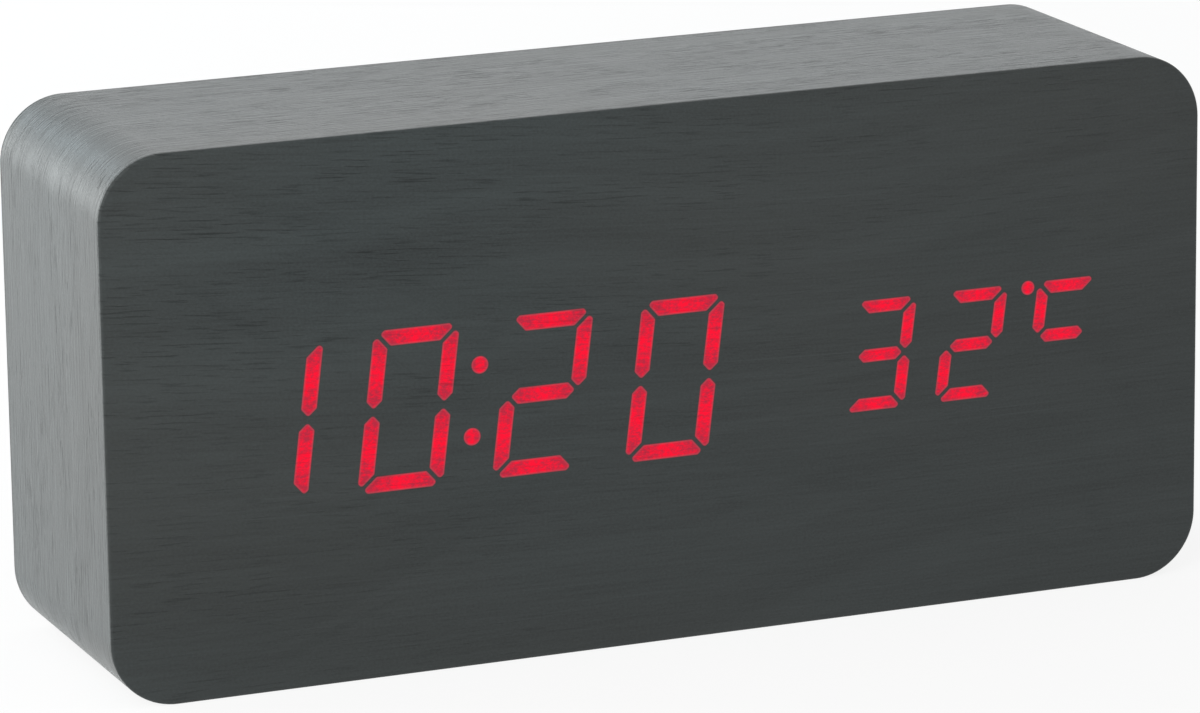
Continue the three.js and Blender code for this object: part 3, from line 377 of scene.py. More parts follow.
def rim(face_y, inward, radius, steps=5):
    """A quarter round from a flat face to a side: inset radius x (1 - sin a) at depth
    radius x (1 - cos a) for a from 0 to a right angle, after one ring that keeps the face flat."""
    angle = np.linspace(0, math.pi / 2, steps)
    insets = radius * (1 - np.sin(angle))
    depths = face_y + inward * radius * (1 - np.cos(angle))
    return [(radius + EDGE_SUPPORT, face_y), *zip(insets, depths)]


def hole(profile):
    """A profile for a hole, whose outline grows where an outer one would shrink."""
    return [(-inset, y) for inset, y in profile]


def rings(shape, profile):
    """Rings of points along a profile: the shape at each inset, at its depth y."""
    return np.stack([np.insert(shape(inset), 1, y, axis=1) for inset, y in profile])


print("rim of radius 1:", [(round(a, 2), round(b, 2)) for a, b in rim(0, 1, 1.0, 3)])


# %% From rings to faces
def quads(rows, sides, first=0, closed=False):
    """Corner numbers of the quads between neighbouring rows of a grid, each row being a loop."""
    row = np.arange(rows if closed else rows - 1)[:, None]
    side = np.arange(sides)[None, :]
    above, beside = (row + 1) % rows * sides, (side + 1) % sides
    corners = [row * sides + side, row * sides + beside, above + beside, above + side]
    return first + np.stack(corners, -1).reshape(-1, 4)


def inside(points, starts, ends):
    """Whether a line from each point towards +X crosses an odd number of edges."""
    x, z = points[:, :1], points[:, 1:]
    (x0, z0), (x1, z1) = starts.T, ends.T
    crossing = x0 + (z - z0) * (x1 - x0) / np.where(z1 == z0, 1, z1 - z0)
    return (((z0 > z) != (z1 > z)) & (crossing > x)).sum(1) % 2 == 1


def flat_face(loops, numbers):
    """Triangles between an outer ring and the rings of its holes. A triangulation keeps every edge
    of the rings, and the triangles whose middle lies in a hole are left out."""
    points = np.concatenate(loops)[:, [0, 2]]
    first = np.cumsum([0, *map(len, loops)])
    after = [start + np.roll(np.arange(len(ring)), -1) for start, ring in zip(first, loops)]
    after = np.concatenate(after)
    edges = np.stack([np.arange(len(points)), after], 1)
    _, _, faces, sources, _, _ = delaunay_2d_cdt(points.tolist(), edges.tolist(), [], 0, 1e-6)
    kept = np.array([same[0] for same in sources])[np.array(faces)]
    middles = points[kept].mean(1)
    kept = kept[inside(middles, points, points[after])]
    return np.concatenate(numbers)[kept]


def body_of_rings(*grids):
    """Points and faces of a closed body: an outer grid of rings and one grid for each hole, all
    from the front face to the back one."""
    points = np.concatenate([grid.reshape(-1, 3) for grid in grids])
    faces, fronts, backs, first = [], [], [], 0
    for grid in grids:
        rows, sides = grid.shape[:2]
        faces.append(quads(rows, sides, first))
        fronts.append(first + np.arange(sides))
        backs.append(first + (rows - 1) * sides + np.arange(sides))
        first += rows * sides
    front = flat_face([grid[0] for grid in grids], fronts)
    back = flat_face([grid[-1] for grid in grids], backs)
    return points, [*np.concatenate(faces).tolist(), *front.tolist(), *back.tolist()]


print("a ring of", len(quads(2, 8)), "quads")

# %% [markdown]
# ### Turned shapes
# Buttons, posts, pins and cells are round. A profile carried round an axis makes them, as a lathe
# would. Where a piece has several bodies, such as a plate with posts, they share one mesh and
# overlap a little, which is simpler than a boolean and looks the same from outside.


# %% Turned bodies and bodies put together
def turned(profile, centre, axis="y", sides=48):
    """Points and faces of a turned body: a profile of (radius, place along the axis) that starts
    and ends on the axis, carried round it."""
    radius, along = np.array(profile, float).T
    angle = np.linspace(0, FULL_TURN, sides, endpoint=False)
    across = radius[:, None] * np.cos(angle)
    up = radius[:, None] * np.sin(angle)
    level = np.repeat(along[:, None], sides, 1)
    order = (across, level, up) if axis == "y" else (level, across, up)
    points = np.stack(order, -1).reshape(-1, 3) + np.asarray(centre, float)
    return points, quads(len(profile), sides).tolist()


def together(*bodies):
    """Several bodies as the points and faces of one mesh."""
    points, faces, first = [], [], 0
    for body_points, body_faces in bodies:
        points.append(body_points)
        faces += [[corner + first for corner in face] for face in body_faces]
        first += len(body_points)
    return np.concatenate(points), faces


print("a turned cone of", len(turned([(0, 0), (1, 0), (0, 1)], (0, 0, 0))[0]), "points")

# %% [markdown]
# ## From arrays to a piece
# One function turns points and faces into a finished piece: it fills the mesh, merges doubled
# points, turns all faces outwards, shades it smooth with sharp edges kept, gives it its finish,
# and lets it ride on the body of the clock that it belongs to.


# %% Making pieces
MERGE_DISTANCE = 1e-8
SLIVER_LENGTH = 1e-9


def make_piece(name, shape, material, body="clock_body", stands_for=(), smooth=40):
    """A finished piece from the points, in millimetres, and the faces of a shape."""
    points, faces = shape
    mesh = bpy.data.meshes.new(name)
    mesh.from_pydata((points * MM).tolist(), [], faces)
    whole = bmesh.new()
    whole.from_mesh(mesh)
    bmesh.ops.remove_doubles(whole, verts=whole.verts, dist=MERGE_DISTANCE)
    bmesh.ops.dissolve_degenerate(whole, edges=whole.edges, dist=SLIVER_LENGTH)
    bmesh.ops.recalc_face_normals(whole, faces=whole.faces)
    whole.to_mesh(mesh)
    whole.free()
    return finish_piece(name, mesh, material, body, stands_for, smooth)


def finish_piece(name, mesh, material, body, stands_for, smooth=40):
    """A mesh as a piece: smooth shading, finish and body. The CAD nodes that it stands for are
    hidden."""
    mesh.polygons.foreach_set("use_smooth", np.ones(len(mesh.polygons), bool))
    mesh.set_sharp_from_angle(angle=math.radians(smooth))
    mesh.materials.clear()
    mesh.materials.append(material)
    piece = bpy.data.objects.new(name, mesh)
    bpy.context.scene.collection.objects.link(piece)
    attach(piece, body)
    if stands_for:
        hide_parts(*stands_for)
    print(name, len(mesh.vertices), "points")
    return piece


def open_edges(piece):
    """How many edges of a piece don't have exactly two faces."""
    whole = bmesh.new()
    whole.from_mesh(piece.data)
    loose = sum(len(edge.link_faces) != 2 for edge in whole.edges)
    whole.free()
    return loose


def box_of(node):
    """Lowest and highest corner of a CAD node, in millimetres."""
    low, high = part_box(node)
    return np.array(low) / MM, np.array(high) / MM


print("the case core reaches from", *[corner.round(2) for corner in box_of("case_core")])

# %% [markdown]
# ### Dressing what the CAD model gives
# Some nodes keep their CAD shape. A Bevel modifier can round their edges, but a CAD mesh is loose
# triangles, and a bevel follows every edge of a triangle. So the bevel works on a copy, in which
# the points are merged and flat neighbours joined. Nodes that hardly show only get a finish.

# %% Dressing CAD nodes
CAD_MERGE_DISTANCE = 1e-6
FLAT_ANGLE = math.radians(1)
SHARP_DEGREES = 30


def softened(node, material, body, width=0.15, segments=3):
    """A copy of a CAD node with its edges rounded. A face that has a notch or runs round a boss is
    cut into convex ones, which the modifier can't fold."""
    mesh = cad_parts[node].data.copy()
    whole = bmesh.new()
    whole.from_mesh(mesh)
    bmesh.ops.remove_doubles(whole, verts=whole.verts, dist=CAD_MERGE_DISTANCE)
    bmesh.ops.dissolve_limit(
        whole, angle_limit=FLAT_ANGLE, verts=whole.verts, edges=whole.edges
    )
    bmesh.ops.connect_verts_concave(whole, faces=whole.faces[:])
    whole.to_mesh(mesh)
    whole.free()
    piece = finish_piece(node + "_soft", mesh, material, body, [node], SHARP_DEGREES)
    bevel = piece.modifiers.new("rounded_edges", "BEVEL")
    bevel.width = width * MM
    bevel.segments = segments
    bevel.limit_method = "ANGLE"
    bevel.angle_limit = math.radians(SHARP_DEGREES)
    bevel.harden_normals = True
    return piece


def dress(material, *nodes):
    """Gives CAD nodes a finish and leaves their shape as it is."""
    for node in nodes:
        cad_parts[node].material_slots[0].material = material
    print(material.name, "on", len(nodes), "nodes")


print("a flat angle is", round(math.degrees(FLAT_ANGLE), 2), "degrees, a sharp one", SHARP_DEGREES)

# %% [markdown]
# ## The veneer
# The skin is a thin sheet of wood stained nearly black, with a satin lacquer. What shows is its
# grain: fine fibres, short dark pores that lie along them, a few thin pale lines and broad faint
# bands where the tree's rings were cut at a slant. Each is a noise that is stretched along the
# grain by a different amount. The group takes a place whose X runs along the grain and Y across
# it, so the same wood serves the flat front and the band that goes round the block.

# %% The wood grain group
FIBRE_SCALE = (60, 2400, 1)
PORE_SCALE = (190, 3600, 1)
PORE_PATCH_SCALE = (40, 160, 1)
PALE_LINE_SCALE = (30, 3600, 1)
BAND_SCALE = (8, 170, 1)
WARP_SCALE = (9, 9, 1)
TOOTH_SCALE = (2600, 3400, 1)
GROOVE_RANGE = (0.57, 0.68)
PATCH_RANGE = (0.30, 0.62)
PALE_LINE_RANGE = (0.74, 0.86)
TONE_SHARES = {"fibres": 0.60, "bands": 0.75, "tooth": 0.6, "pale": 0.22}
TOOTH_HEIGHT = 0.35
PORE_HEIGHT = 0.9
BAND_BEND = 0.035


def about_zero(tree, value, level):
    """A value about one half turned into one about zero, times a level."""
    return maths(tree, "MULTIPLY", maths(tree, "SUBTRACT", value, 0.5), level)


def build_wood_grain():
    """Tone is the fibres, bands, tooth and pale lines about one half. Pores is a mask of thin dark
    grooves, times Pore Level. Height is the fibres and the tooth less the pores. Only the bands
    are moved, because a tree's rings are cut at a slant while its fibres stay straight: a slow
    noise times Bend sways them, and right of the middle they rise by Slant times the way along."""
    tree, start, end = new_group(
        "wood_grain",
        [
            ("Place", "Vector", None),
            ("Bend", "Float", BAND_BEND),
            ("Slant", "Float", 0.0),
            ("Pore Level", "Float", 1.0),
        ],
        [("Tone", "Float"), ("Pores", "Float"), ("Height", "Float")],
    )
    place = start.outputs["Place"]
    shift = about_zero(tree, noise(tree, place, WARP_SCALE, 1.0), start.outputs["Bend"])
    along = add_node(tree, "SeparateXYZ", {0: place}).outputs["X"]
    rise = maths(tree, "MULTIPLY", maths(tree, "MAXIMUM", along, 0.0), start.outputs["Slant"])
    shift = maths(tree, "SUBTRACT", shift, rise)
    moved = add_node(tree, "CombineXYZ", {"Y": shift}).outputs[0]
    bent = add_node(tree, "VectorMath", {0: place, 1: moved}, operation="ADD").outputs[0]
    fibres = noise(tree, place, FIBRE_SCALE, 3.0, 0.6)
    bands = noise(tree, bent, BAND_SCALE, 3.0, 0.55)
    tooth = noise(tree, place, TOOTH_SCALE, 1.0)
    grooves = between(tree, noise(tree, place, PORE_SCALE, 1.0), *GROOVE_RANGE)
    patches = between(tree, noise(tree, place, PORE_PATCH_SCALE, 2.0), *PATCH_RANGE)
    pores = maths(tree, "MULTIPLY", grooves, patches)
    pores = maths(tree, "MULTIPLY", pores, start.outputs["Pore Level"])
    pale = between(tree, noise(tree, place, PALE_LINE_SCALE, 0.0), *PALE_LINE_RANGE)
    shares = TONE_SHARES
    fibre_tone = about_zero(tree, fibres, shares["fibres"])
    tone = maths(tree, "ADD", fibre_tone, about_zero(tree, bands, shares["bands"]))
    tone = maths(tree, "ADD", tone, about_zero(tree, tooth, shares["tooth"]))
    tone = maths(tree, "ADD", maths(tree, "MULTIPLY_ADD", pale, shares["pale"], 0.5), tone)
    height = maths(tree, "ADD", fibres, about_zero(tree, tooth, TOOTH_HEIGHT))
    height = maths(tree, "SUBTRACT", height, maths(tree, "MULTIPLY", pores, PORE_HEIGHT))
    for socket, name in ((tone, "Tone"), (pores, "Pores"), (height, "Height")):
        tree.links.new(socket, end.inputs[name])
    return tree


wood_grain = build_wood_grain()
print("wood grain group with", len(wood_grain.nodes), "nodes")

# %% [markdown]
# ### Two cuts of the same wood
# The same grain lies on flat and on round pieces, so only the place that it is read at differs. On
# the front that place is the object's own X and Z. No sheet is cut quite true to the tree, and
# here the grain drops by a few degrees to the right in the upper left half: adding a little of X
# to Z tilts it. On the band the grain follows the outline of the block, like a strip that was
# wound round it, so its place comes from a UV map that holds the distance along the outline and
# the depth, both in metres.

# %% Where the grain lies
FRONT_DROP = 0.08
DROP_FULL_HEIGHT = 45 * MM
DROP_END = 20 * MM
DROP_SOFTNESS = 40 * MM
SLOPE_RANGE = (-95 * MM, -5 * MM)
RING_SLANT = 0.14
FADED_PORES = 0.25


def level_place(tree):
    """Grain along the object's X, across its Z. The place across is Z plus a drop, which is a
    share of the smaller of X and the drop's end. The share grows from the foot to the full
    height."""
    parts = add_node(tree, "SeparateXYZ", {0: object_place(tree)}).outputs
    share = between(tree, parts["Z"], 0.0, DROP_FULL_HEIGHT, 0.0, FRONT_DROP)
    run = maths(tree, "SMOOTH_MIN", parts["X"], DROP_END, DROP_SOFTNESS)
    across = maths(tree, "MULTIPLY_ADD", run, share, parts["Z"])
    return add_node(tree, "CombineXYZ", {"X": parts["X"], "Y": across}).outputs[0]


def band_place(tree):
    """Grain along the first value of the piece's UV map, across the second."""
    return add_node(tree, "UVMap", uv_map="grain").outputs[0]


def lower_right(tree, at_start, at_end):
    """A value that changes from the upper left of the front to its lower right, over the slope
    x / 2 - z."""
    parts = add_node(tree, "SeparateXYZ", {0: object_place(tree)}).outputs
    slope = maths(tree, "MULTIPLY_ADD", parts["X"], 0.5, maths(tree, "MULTIPLY", parts["Z"], -1.0))
    return between(tree, slope, *SLOPE_RANGE, at_start, at_end)


def front_grain(tree):
    """The grain of the front: its rings rise to the right, and its pores fade to the lower
    right."""
    inputs = {"Place": level_place(tree), "Slant": RING_SLANT}
    inputs["Pore Level"] = lower_right(tree, 1.0, FADED_PORES)
    return use_group(tree, wood_grain, inputs)


def band_grain(tree):
    """The grain of the band round the block."""
    return use_group(tree, wood_grain, {"Place": band_place(tree)})


print("the grain drops by up to", round(math.degrees(math.atan(FRONT_DROP)), 1), "degrees")

# %% [markdown]
# ### The veneer's finish
# The stained wood is dark and a little warmer in slow patches. Towards the lower right of the
# front a painted shade darkens it. The lacquer over it is thin: a weak coat, and a sheen that
# brightens faces seen at a shallow angle. Dark tones are rougher than pale ones and pores are
# roughest, so gloss shows the grain too.

# %% Veneer finishes
VENEER_DARK = (0.0100, 0.0148, 0.0152)
VENEER_PALE = (0.0265, 0.0385, 0.0392)
VENEER_WARM = (0.028, 0.029, 0.026)
# The colour of the painted shade at the lower right of the front.
VENEER_PAINTED_SHADE = (0.0085, 0.0105, 0.0098)
PORE_COLOUR = (0.007, 0.009, 0.009)
PORE_SHADE = 0.42
TONE_RANGE = (0.15, 0.85)
WARM_PATCH_SCALE = (9, 16, 16)
WARM_PATCH_RANGE = (0.42, 0.68)
WARM_SHARE = 0.55
# How far the painted shade at the lower right goes towards that colour.
FRONT_PAINTED_SHADE = 0.45
SATIN_TONES = (0.2, 0.8)
SATIN_ROUGHNESS = (0.72, 0.54)
PORE_ROUGHNESS = 0.28
GRAIN_DEPTH = 0.08 * MM
VENEER_IOR = 1.5
LACQUER = {
    "Coat_Weight": 0.12,
    "Coat_Roughness": 0.4,
    "Coat_IOR": 1.5,
    "Sheen_Weight": 0.32,
    "Sheen_Roughness": 0.4,
}


def colour_of_wood(tree, grain, place):
    """The grain's tone picks a colour between dark and pale, warmed in slow patches, and the pores
    darken it."""
    tone = between(tree, grain["Tone"], *TONE_RANGE)
    wood = blend_colours(tree, tone, VENEER_DARK, VENEER_PALE)
    patch = noise(tree, place, WARM_PATCH_SCALE, 1.0)
    patch = between(tree, patch, *WARM_PATCH_RANGE, 0.0, WARM_SHARE)
    wood = blend_colours(tree, patch, wood, VENEER_WARM)
    pores = maths(tree, "MULTIPLY", grain["Pores"], PORE_SHADE)
    return blend_colours(tree, pores, wood, PORE_COLOUR)


def build_veneer(name, place_of, grain_of, shade=0.0):
    """The satin veneer for one way of placing the grain. A painted shade darkens it to the lower
    right.
    """
    material, tree, shader = new_finish(name, IOR=VENEER_IOR, **LACQUER)
    place = place_of(tree)
    grain = grain_of(tree)
    wood = colour_of_wood(tree, grain, place)
    # Painted shade: the colour darkens towards the lower right.
    if shade:
        wood = blend_colours(tree, lower_right(tree, 0.0, shade), wood, VENEER_PAINTED_SHADE)
    tree.links.new(wood, shader.inputs["Base Color"])
    satin = between(tree, grain["Tone"], *SATIN_TONES, *SATIN_ROUGHNESS)
    satin = maths(tree, "MULTIPLY_ADD", grain["Pores"], PORE_ROUGHNESS, satin)
    tree.links.new(satin, shader.inputs["Roughness"])
    raise_surface(tree, shader, grain["Height"], GRAIN_DEPTH)
    return material


front_veneer = build_veneer("veneer_front", level_place, front_grain, FRONT_PAINTED_SHADE)
band_veneer = build_veneer("veneer_band", band_place, band_grain)
print(front_veneer.name, "and", band_veneer.name, "ready")

# %% [markdown]
# ## The figures
# Behind the veneer each figure is made of bars. A bar is a long hexagon with slightly rounded
# corners, and all bars lean to the right. The light comes from one small chip at the middle of
# each bar, so a bar is brightest there and falls off to its ends. The bars are worked out first,
# because the front sheet needs their outlines too.

# %% Sizes of the display
CASE_WIDTH = 150
CASE_HEIGHT = 70
CASE_CORNER = 8.5
FRONT_Y = -20
REAR_Y = 20
SHEET_BACK_Y = -19.5
DISPLAY_Z = 34.5
DISPLAY_WIDTH = 121
LEAN = math.tan(math.radians(7.5))
BAR_GAP = 0.5
BAR_TIP_SHARE = 0.25
BAR_CORNER_SHARE = 0.19
BAR_GROWTH = 0.06
BIG = {"width": DISPLAY_WIDTH * 0.095, "height": 20.75, "bar": 2.08}
SMALL = {"width": DISPLAY_WIDTH * 0.0717, "height": 14.55, "bar": 1.72}
BIG_X = [DISPLAY_WIDTH * (0.0595 - 0.5 + 0.1492 * place) for place in range(4)]
SMALL_X = [BIG_X[3] + DISPLAY_WIDTH * (0.236 + 0.1069 * place) for place in range(3)]
DEGREE_DOT_X = -(SMALL["width"] / 2 + (DISPLAY_WIDTH * 0.1069 - SMALL["width"]) * 0.318)
# name: (x, size of its bars, letters of the lit bars, dots as (x, z, radius))
FIGURES = {
    "hours_tens": (BIG_X[0], BIG, "bc", []),
    "hours_units": (BIG_X[1], BIG, "abcdef", []),
    "minutes_tens": (BIG_X[2], BIG, "abdeg", []),
    "minutes_units": (BIG_X[3], BIG, "abcdef", []),
    "degrees_tens": (SMALL_X[0], SMALL, "abcdg", []),
    "degrees_units": (SMALL_X[1], SMALL, "abdeg", []),
    "celsius": (SMALL_X[2], SMALL, "afg", [(DEGREE_DOT_X, 6.6, 1.0)]),
    "colon": ((BIG_X[1] + BIG_X[2]) / 2, None, "", [(0, -4.58, 1.2), (0, 4.58, 1.2)]),
}
print(len(FIGURES), "figures, the first at x", round(BIG_X[0], 2))


# %% The bars of a figure
def bar_corners(x, size, letter):
    """The six corners of a bar, in millimetres. The bar is first drawn along its own length, then
    laid at its place in the figure, and last leaned: x grows by z times the lean."""
    reach_x = (size["width"] - size["bar"]) / 2
    reach_z = (size["height"] - size["bar"]) / 2
    gap, half, tip = BAR_GAP / math.sqrt(2), size["bar"] / 2, size["bar"] * BAR_TIP_SHARE
    level = {"a": 1, "d": -1, "g": 0}.get(letter)
    if level is None:
        first_tip, tip, start, end = 0, tip, gap, reach_z - gap + tip
    else:
        tip *= abs(level)
        first_tip, end = tip, reach_x - gap + tip
        start = -end
    along = [start, start + half + first_tip, end - half - tip, end, end - half + tip]
    along = np.array([*along, start + half - first_tip])
    across = np.array([first_tip, -half, -half, tip, half, half])
    if level is None:
        side, up = (1 if letter in "bc" else -1), (1 if letter in "bf" else -1)
        flat = np.stack([side * (reach_x + across), up * along], 1)
    elif level < 0:
        flat = np.stack([-along, -reach_z - across], 1)
    else:
        flat = np.stack([along, level * reach_z + across], 1)
    return leaned(flat, x)


def leaned(flat, x):
    """Leans a figure's points, moves them to their place and puts them in counter-clockwise
    order."""
    points = np.stack([x + flat[:, 0] + flat[:, 1] * LEAN, flat[:, 1] + DISPLAY_Z], 1)
    after = np.roll(points, -1, 0)
    area = (points[:, 0] * after[:, 1] - points[:, 1] * after[:, 0]).sum()
    return points if area > 0 else points[::-1]


def bar_shape(corners, bar):
    """A bar's outline with rounded corners, as a function of its inset. It is a little larger than
    the light guide, because light spreads in the wood."""
    return lambda inset: outline(corners, bar * BAR_CORNER_SHARE, inset - BAR_GROWTH, 5)


def marks_of(figure):
    """The lit marks of a figure: shape, middle, direction and half length of each bar and dot."""
    x, size, letters, dots = FIGURES[figure]
    marks = []
    for letter in letters:
        corners = bar_corners(x, size, letter)
        middle = corners.mean(0)
        far = corners[np.argmax(np.linalg.norm(corners - middle, axis=1))] - middle
        length = np.linalg.norm(far)
        marks.append((bar_shape(corners, size["bar"]), middle, far / length, length))
    for dot_x, dot_z, radius in dots:
        middle = np.array([x + dot_x + dot_z * LEAN, DISPLAY_Z + dot_z])
        marks.append((round_shape(*middle, radius, 32), middle, np.array([1.0, 0.0]), radius))
    return marks


lit_marks = {figure: marks_of(figure) for figure in FIGURES}
print(sum(map(len, lit_marks.values())), "lit marks")

# %% [markdown]
# ### The light through the veneer
# The light is made as a glowing front on each bar's light guide. Two attributes steer it. One is
# how far a point lies from the middle of the bar, from -1 at one end to 1 at the other. Its sign
# is kept in the mesh, because an attribute changes evenly over a face and would otherwise be 1 all
# over, and the shader drops it. The other rises from the bar's rim inwards, so the edge is soft as
# it is under real wood. The same wood grain dims the light, because pores let less through.

# %% Glow finish
GLOW_CORE = (1.0, 0.0, 0.028)
GLOW_END = (0.46, 0.018, 0.046)
GLOW_EDGE = (0.42, 0.035, 0.058)
GLOW_RIM = 0.36
GLOW_REACH = (-0.15, 0.95)
GLOW_RIM_RANGE = (0.15, 0.95)
GLOW_FADE = (0.0, 0.4)
BLOTCH_SCALE = (1300, 2100, 1)
BLOTCH_LEVEL = 3.0
PORE_DIMMING = -0.35
# A red near-black for the wood inside the bars: a painted tint of the glow.
GLOW_TINTED_WOOD = (0.010, 0.002, 0.003)
BLACK = (0.0, 0.0, 0.0)


def build_glow():
    """The light's colour runs from the core's to the end's with the distance from the chip, made
    uneven by small blotches, and to a paler one at the bar's rim. Its level rises from zero at the
    rim and is dimmed by pores, over wood painted a red near-black where it is lit: the red is a
    painted tint of the glow."""
    material, tree, shader = new_finish("lit_veneer", IOR=1.2, Roughness=0.5)
    place = level_place(tree)
    grain = front_grain(tree)
    inwards = add_node(tree, "Attribute", attribute_name="rim").outputs["Fac"]
    away = add_node(tree, "Attribute", attribute_name="away").outputs["Fac"]
    away = maths(tree, "ABSOLUTE", away)
    blotch = about_zero(tree, noise(tree, place, BLOTCH_SCALE, 2.0, 0.7), BLOTCH_LEVEL)
    away = maths(tree, "ADD", away, blotch)
    light = blend_colours(tree, between(tree, away, *GLOW_REACH), GLOW_CORE, GLOW_END)
    light = blend_colours(tree, between(tree, inwards, *GLOW_RIM_RANGE), GLOW_EDGE, light)
    held = maths(tree, "MULTIPLY_ADD", grain["Pores"], PORE_DIMMING, 1.0)
    level = maths(tree, "MULTIPLY", between(tree, inwards, *GLOW_FADE), held)
    light = blend_colours(tree, level, BLACK, light)
    # Inside the bars the wood's colour is a painted red tint of the glow.
    wood = blend_colours(tree, inwards, VENEER_PALE, GLOW_TINTED_WOOD)
    tree.links.new(wood, shader.inputs["Base Color"])
    tree.links.new(light, shader.inputs["Emission Color"])
    shader.inputs["Emission Strength"].default_value = 1.0
    raise_surface(tree, shader, grain["Height"], GRAIN_DEPTH)
    return material


glow_finish = build_glow()
print(glow_finish.name, "with", len(glow_finish.node_tree.nodes), "nodes")

# %% Light guides
GUIDE_BACK_Y = -13.1
GUIDE_PLATE_Y = -13.9
PLATE_MARGIN = 0.5
PLATE_CORNER = 0.3
PLATE_OVERLAP = 0.01
SAME_PLACE = 1e-3
SAME_DEPTH = 0.01
FAR_AWAY = 9.0


def plate_corners(figure):
    """The leaned rectangle that joins a figure's guides behind the mask."""
    x, size, _, dots = FIGURES[figure]
    half_width = size["width"] / 2 if size else dots[0][2]
    half_height = size["height"] / 2 if size else dots[1][1] + dots[1][2]
    left = min([-half_width, *[dot_x - radius for dot_x, _, radius in dots]]) - PLATE_MARGIN
    top = max([half_height, *[dot_z + radius for _, dot_z, radius in dots]]) + PLATE_MARGIN
    right, bottom = half_width + PLATE_MARGIN, -half_height - PLATE_MARGIN
    return leaned(np.array([(left, bottom), (right, bottom), (right, top), (left, top)]), x)


def guide_columns(figure):
    """A column from the plate to the front for each lit mark, and the plate itself. The first ring
    of a column lies inside its front face, and the next one is its rim."""
    profile = [(GLOW_RIM, FRONT_Y), (0, FRONT_Y), (0, SHEET_BACK_Y), (0, GUIDE_BACK_Y)]
    columns = [body_of_rings(rings(mark[0], profile)) for mark in lit_marks[figure]]
    corners = plate_corners(figure)
    profile = [(0.0, GUIDE_PLATE_Y), (0.0, GUIDE_BACK_Y + PLATE_OVERLAP)]
    plate = body_of_rings(rings(lambda inset: outline(corners, PLATE_CORNER, inset, 3), profile))
    return together(*columns, plate)


def set_glow(piece, marks):
    """Away is the way along a mark from its middle, with a sign, as a share of its half length.
    Rim is one on the inner ring of a front face and zero elsewhere."""
    count = len(piece.data.vertices)
    places = np.zeros(count * 3, np.float32)
    piece.data.vertices.foreach_get("co", places)
    places = places.reshape(-1, 3) / MM
    flat = places[:, [0, 2]]
    away, level = np.full(count, FAR_AWAY), np.zeros(count)
    for shape, middle, direction, length in marks:
        share = (flat - middle) @ direction / length
        inner, outer = shape(GLOW_RIM), shape(0)
        to_inner = np.linalg.norm(flat[:, None] - inner[None], axis=2).min(1)
        to_outer = np.linalg.norm(flat[:, None] - outer[None], axis=2).min(1)
        away = np.where(np.minimum(to_inner, to_outer) < SAME_PLACE, share, away)
        in_front = places[:, 1] < FRONT_Y + SAME_DEPTH
        level = np.where((to_inner < SAME_PLACE) & in_front, 1.0, level)
    for name, values in (("away", away), ("rim", level)):
        attribute = piece.data.attributes.new(name, "FLOAT", "POINT")
        attribute.data.foreach_set("value", values.astype(np.float32))


for figure in FIGURES:
    glow = make_piece(
        "glow_" + figure,
        guide_columns(figure),
        glow_finish,
        stands_for=["light_" + figure],
    )
    set_glow(glow, lit_marks[figure])

# %% [markdown]
# ## The case skin
# Three pieces of veneer dress the block: a sheet on the front, a band round the four sides and a
# rim at the back. The outer edges are eased by hand with fine paper, which is the thin line of
# light or shadow along every arris. Where sheet and band meet, both edges dip a hair, and that is
# the glue line.

# %% Front sheet, band and rear rim
EDGE_ROUND = 0.36
GLUE_DIP = 0.035
GLUE_WIDTH = 0.05
JOINT_Y = 19.5
BAND_THICKNESS = 0.5
COVER_GAP = 0.3
case_shape = box_shape(-CASE_WIDTH / 2, CASE_WIDTH / 2, 0, CASE_HEIGHT, CASE_CORNER, 22)


def front_sheet():
    """The front sheet with a window for each lit mark."""
    profile = [*rim(FRONT_Y, 1, EDGE_ROUND), (0, -JOINT_Y - GLUE_WIDTH), (GLUE_DIP, -JOINT_Y)]
    window = [(0, FRONT_Y), (0, SHEET_BACK_Y)]
    holes = [rings(mark[0], window) for marks in lit_marks.values() for mark in marks]
    return body_of_rings(rings(case_shape, profile), *holes)


def rear_rim():
    """The rim of veneer round the rear cover."""
    low, high = box_of("rear_cover")
    low, high = low - COVER_GAP, high + COVER_GAP
    opening = box_shape(low[0], high[0], low[2], high[2], 4, 8)
    profile = [*rim(REAR_Y, -1, EDGE_ROUND), (0, JOINT_Y + GLUE_WIDTH), (GLUE_DIP, JOINT_Y)]
    inner = hole([*rim(REAR_Y, -1, 0.12, 3), (0, JOINT_Y)])
    return body_of_rings(rings(case_shape, profile), rings(opening, inner))


front_piece = make_piece(
    "front_sheet", front_sheet(), front_veneer, stands_for=["front_veneer"]
)
# The rim has the front's finish, and with it the painted shade towards the lower right.
rim_piece = make_piece(
    "rear_rim", rear_rim(), front_veneer, stands_for=["rear_rim_veneer"]
)
print("open edges:", open_edges(front_piece), open_edges(rim_piece))


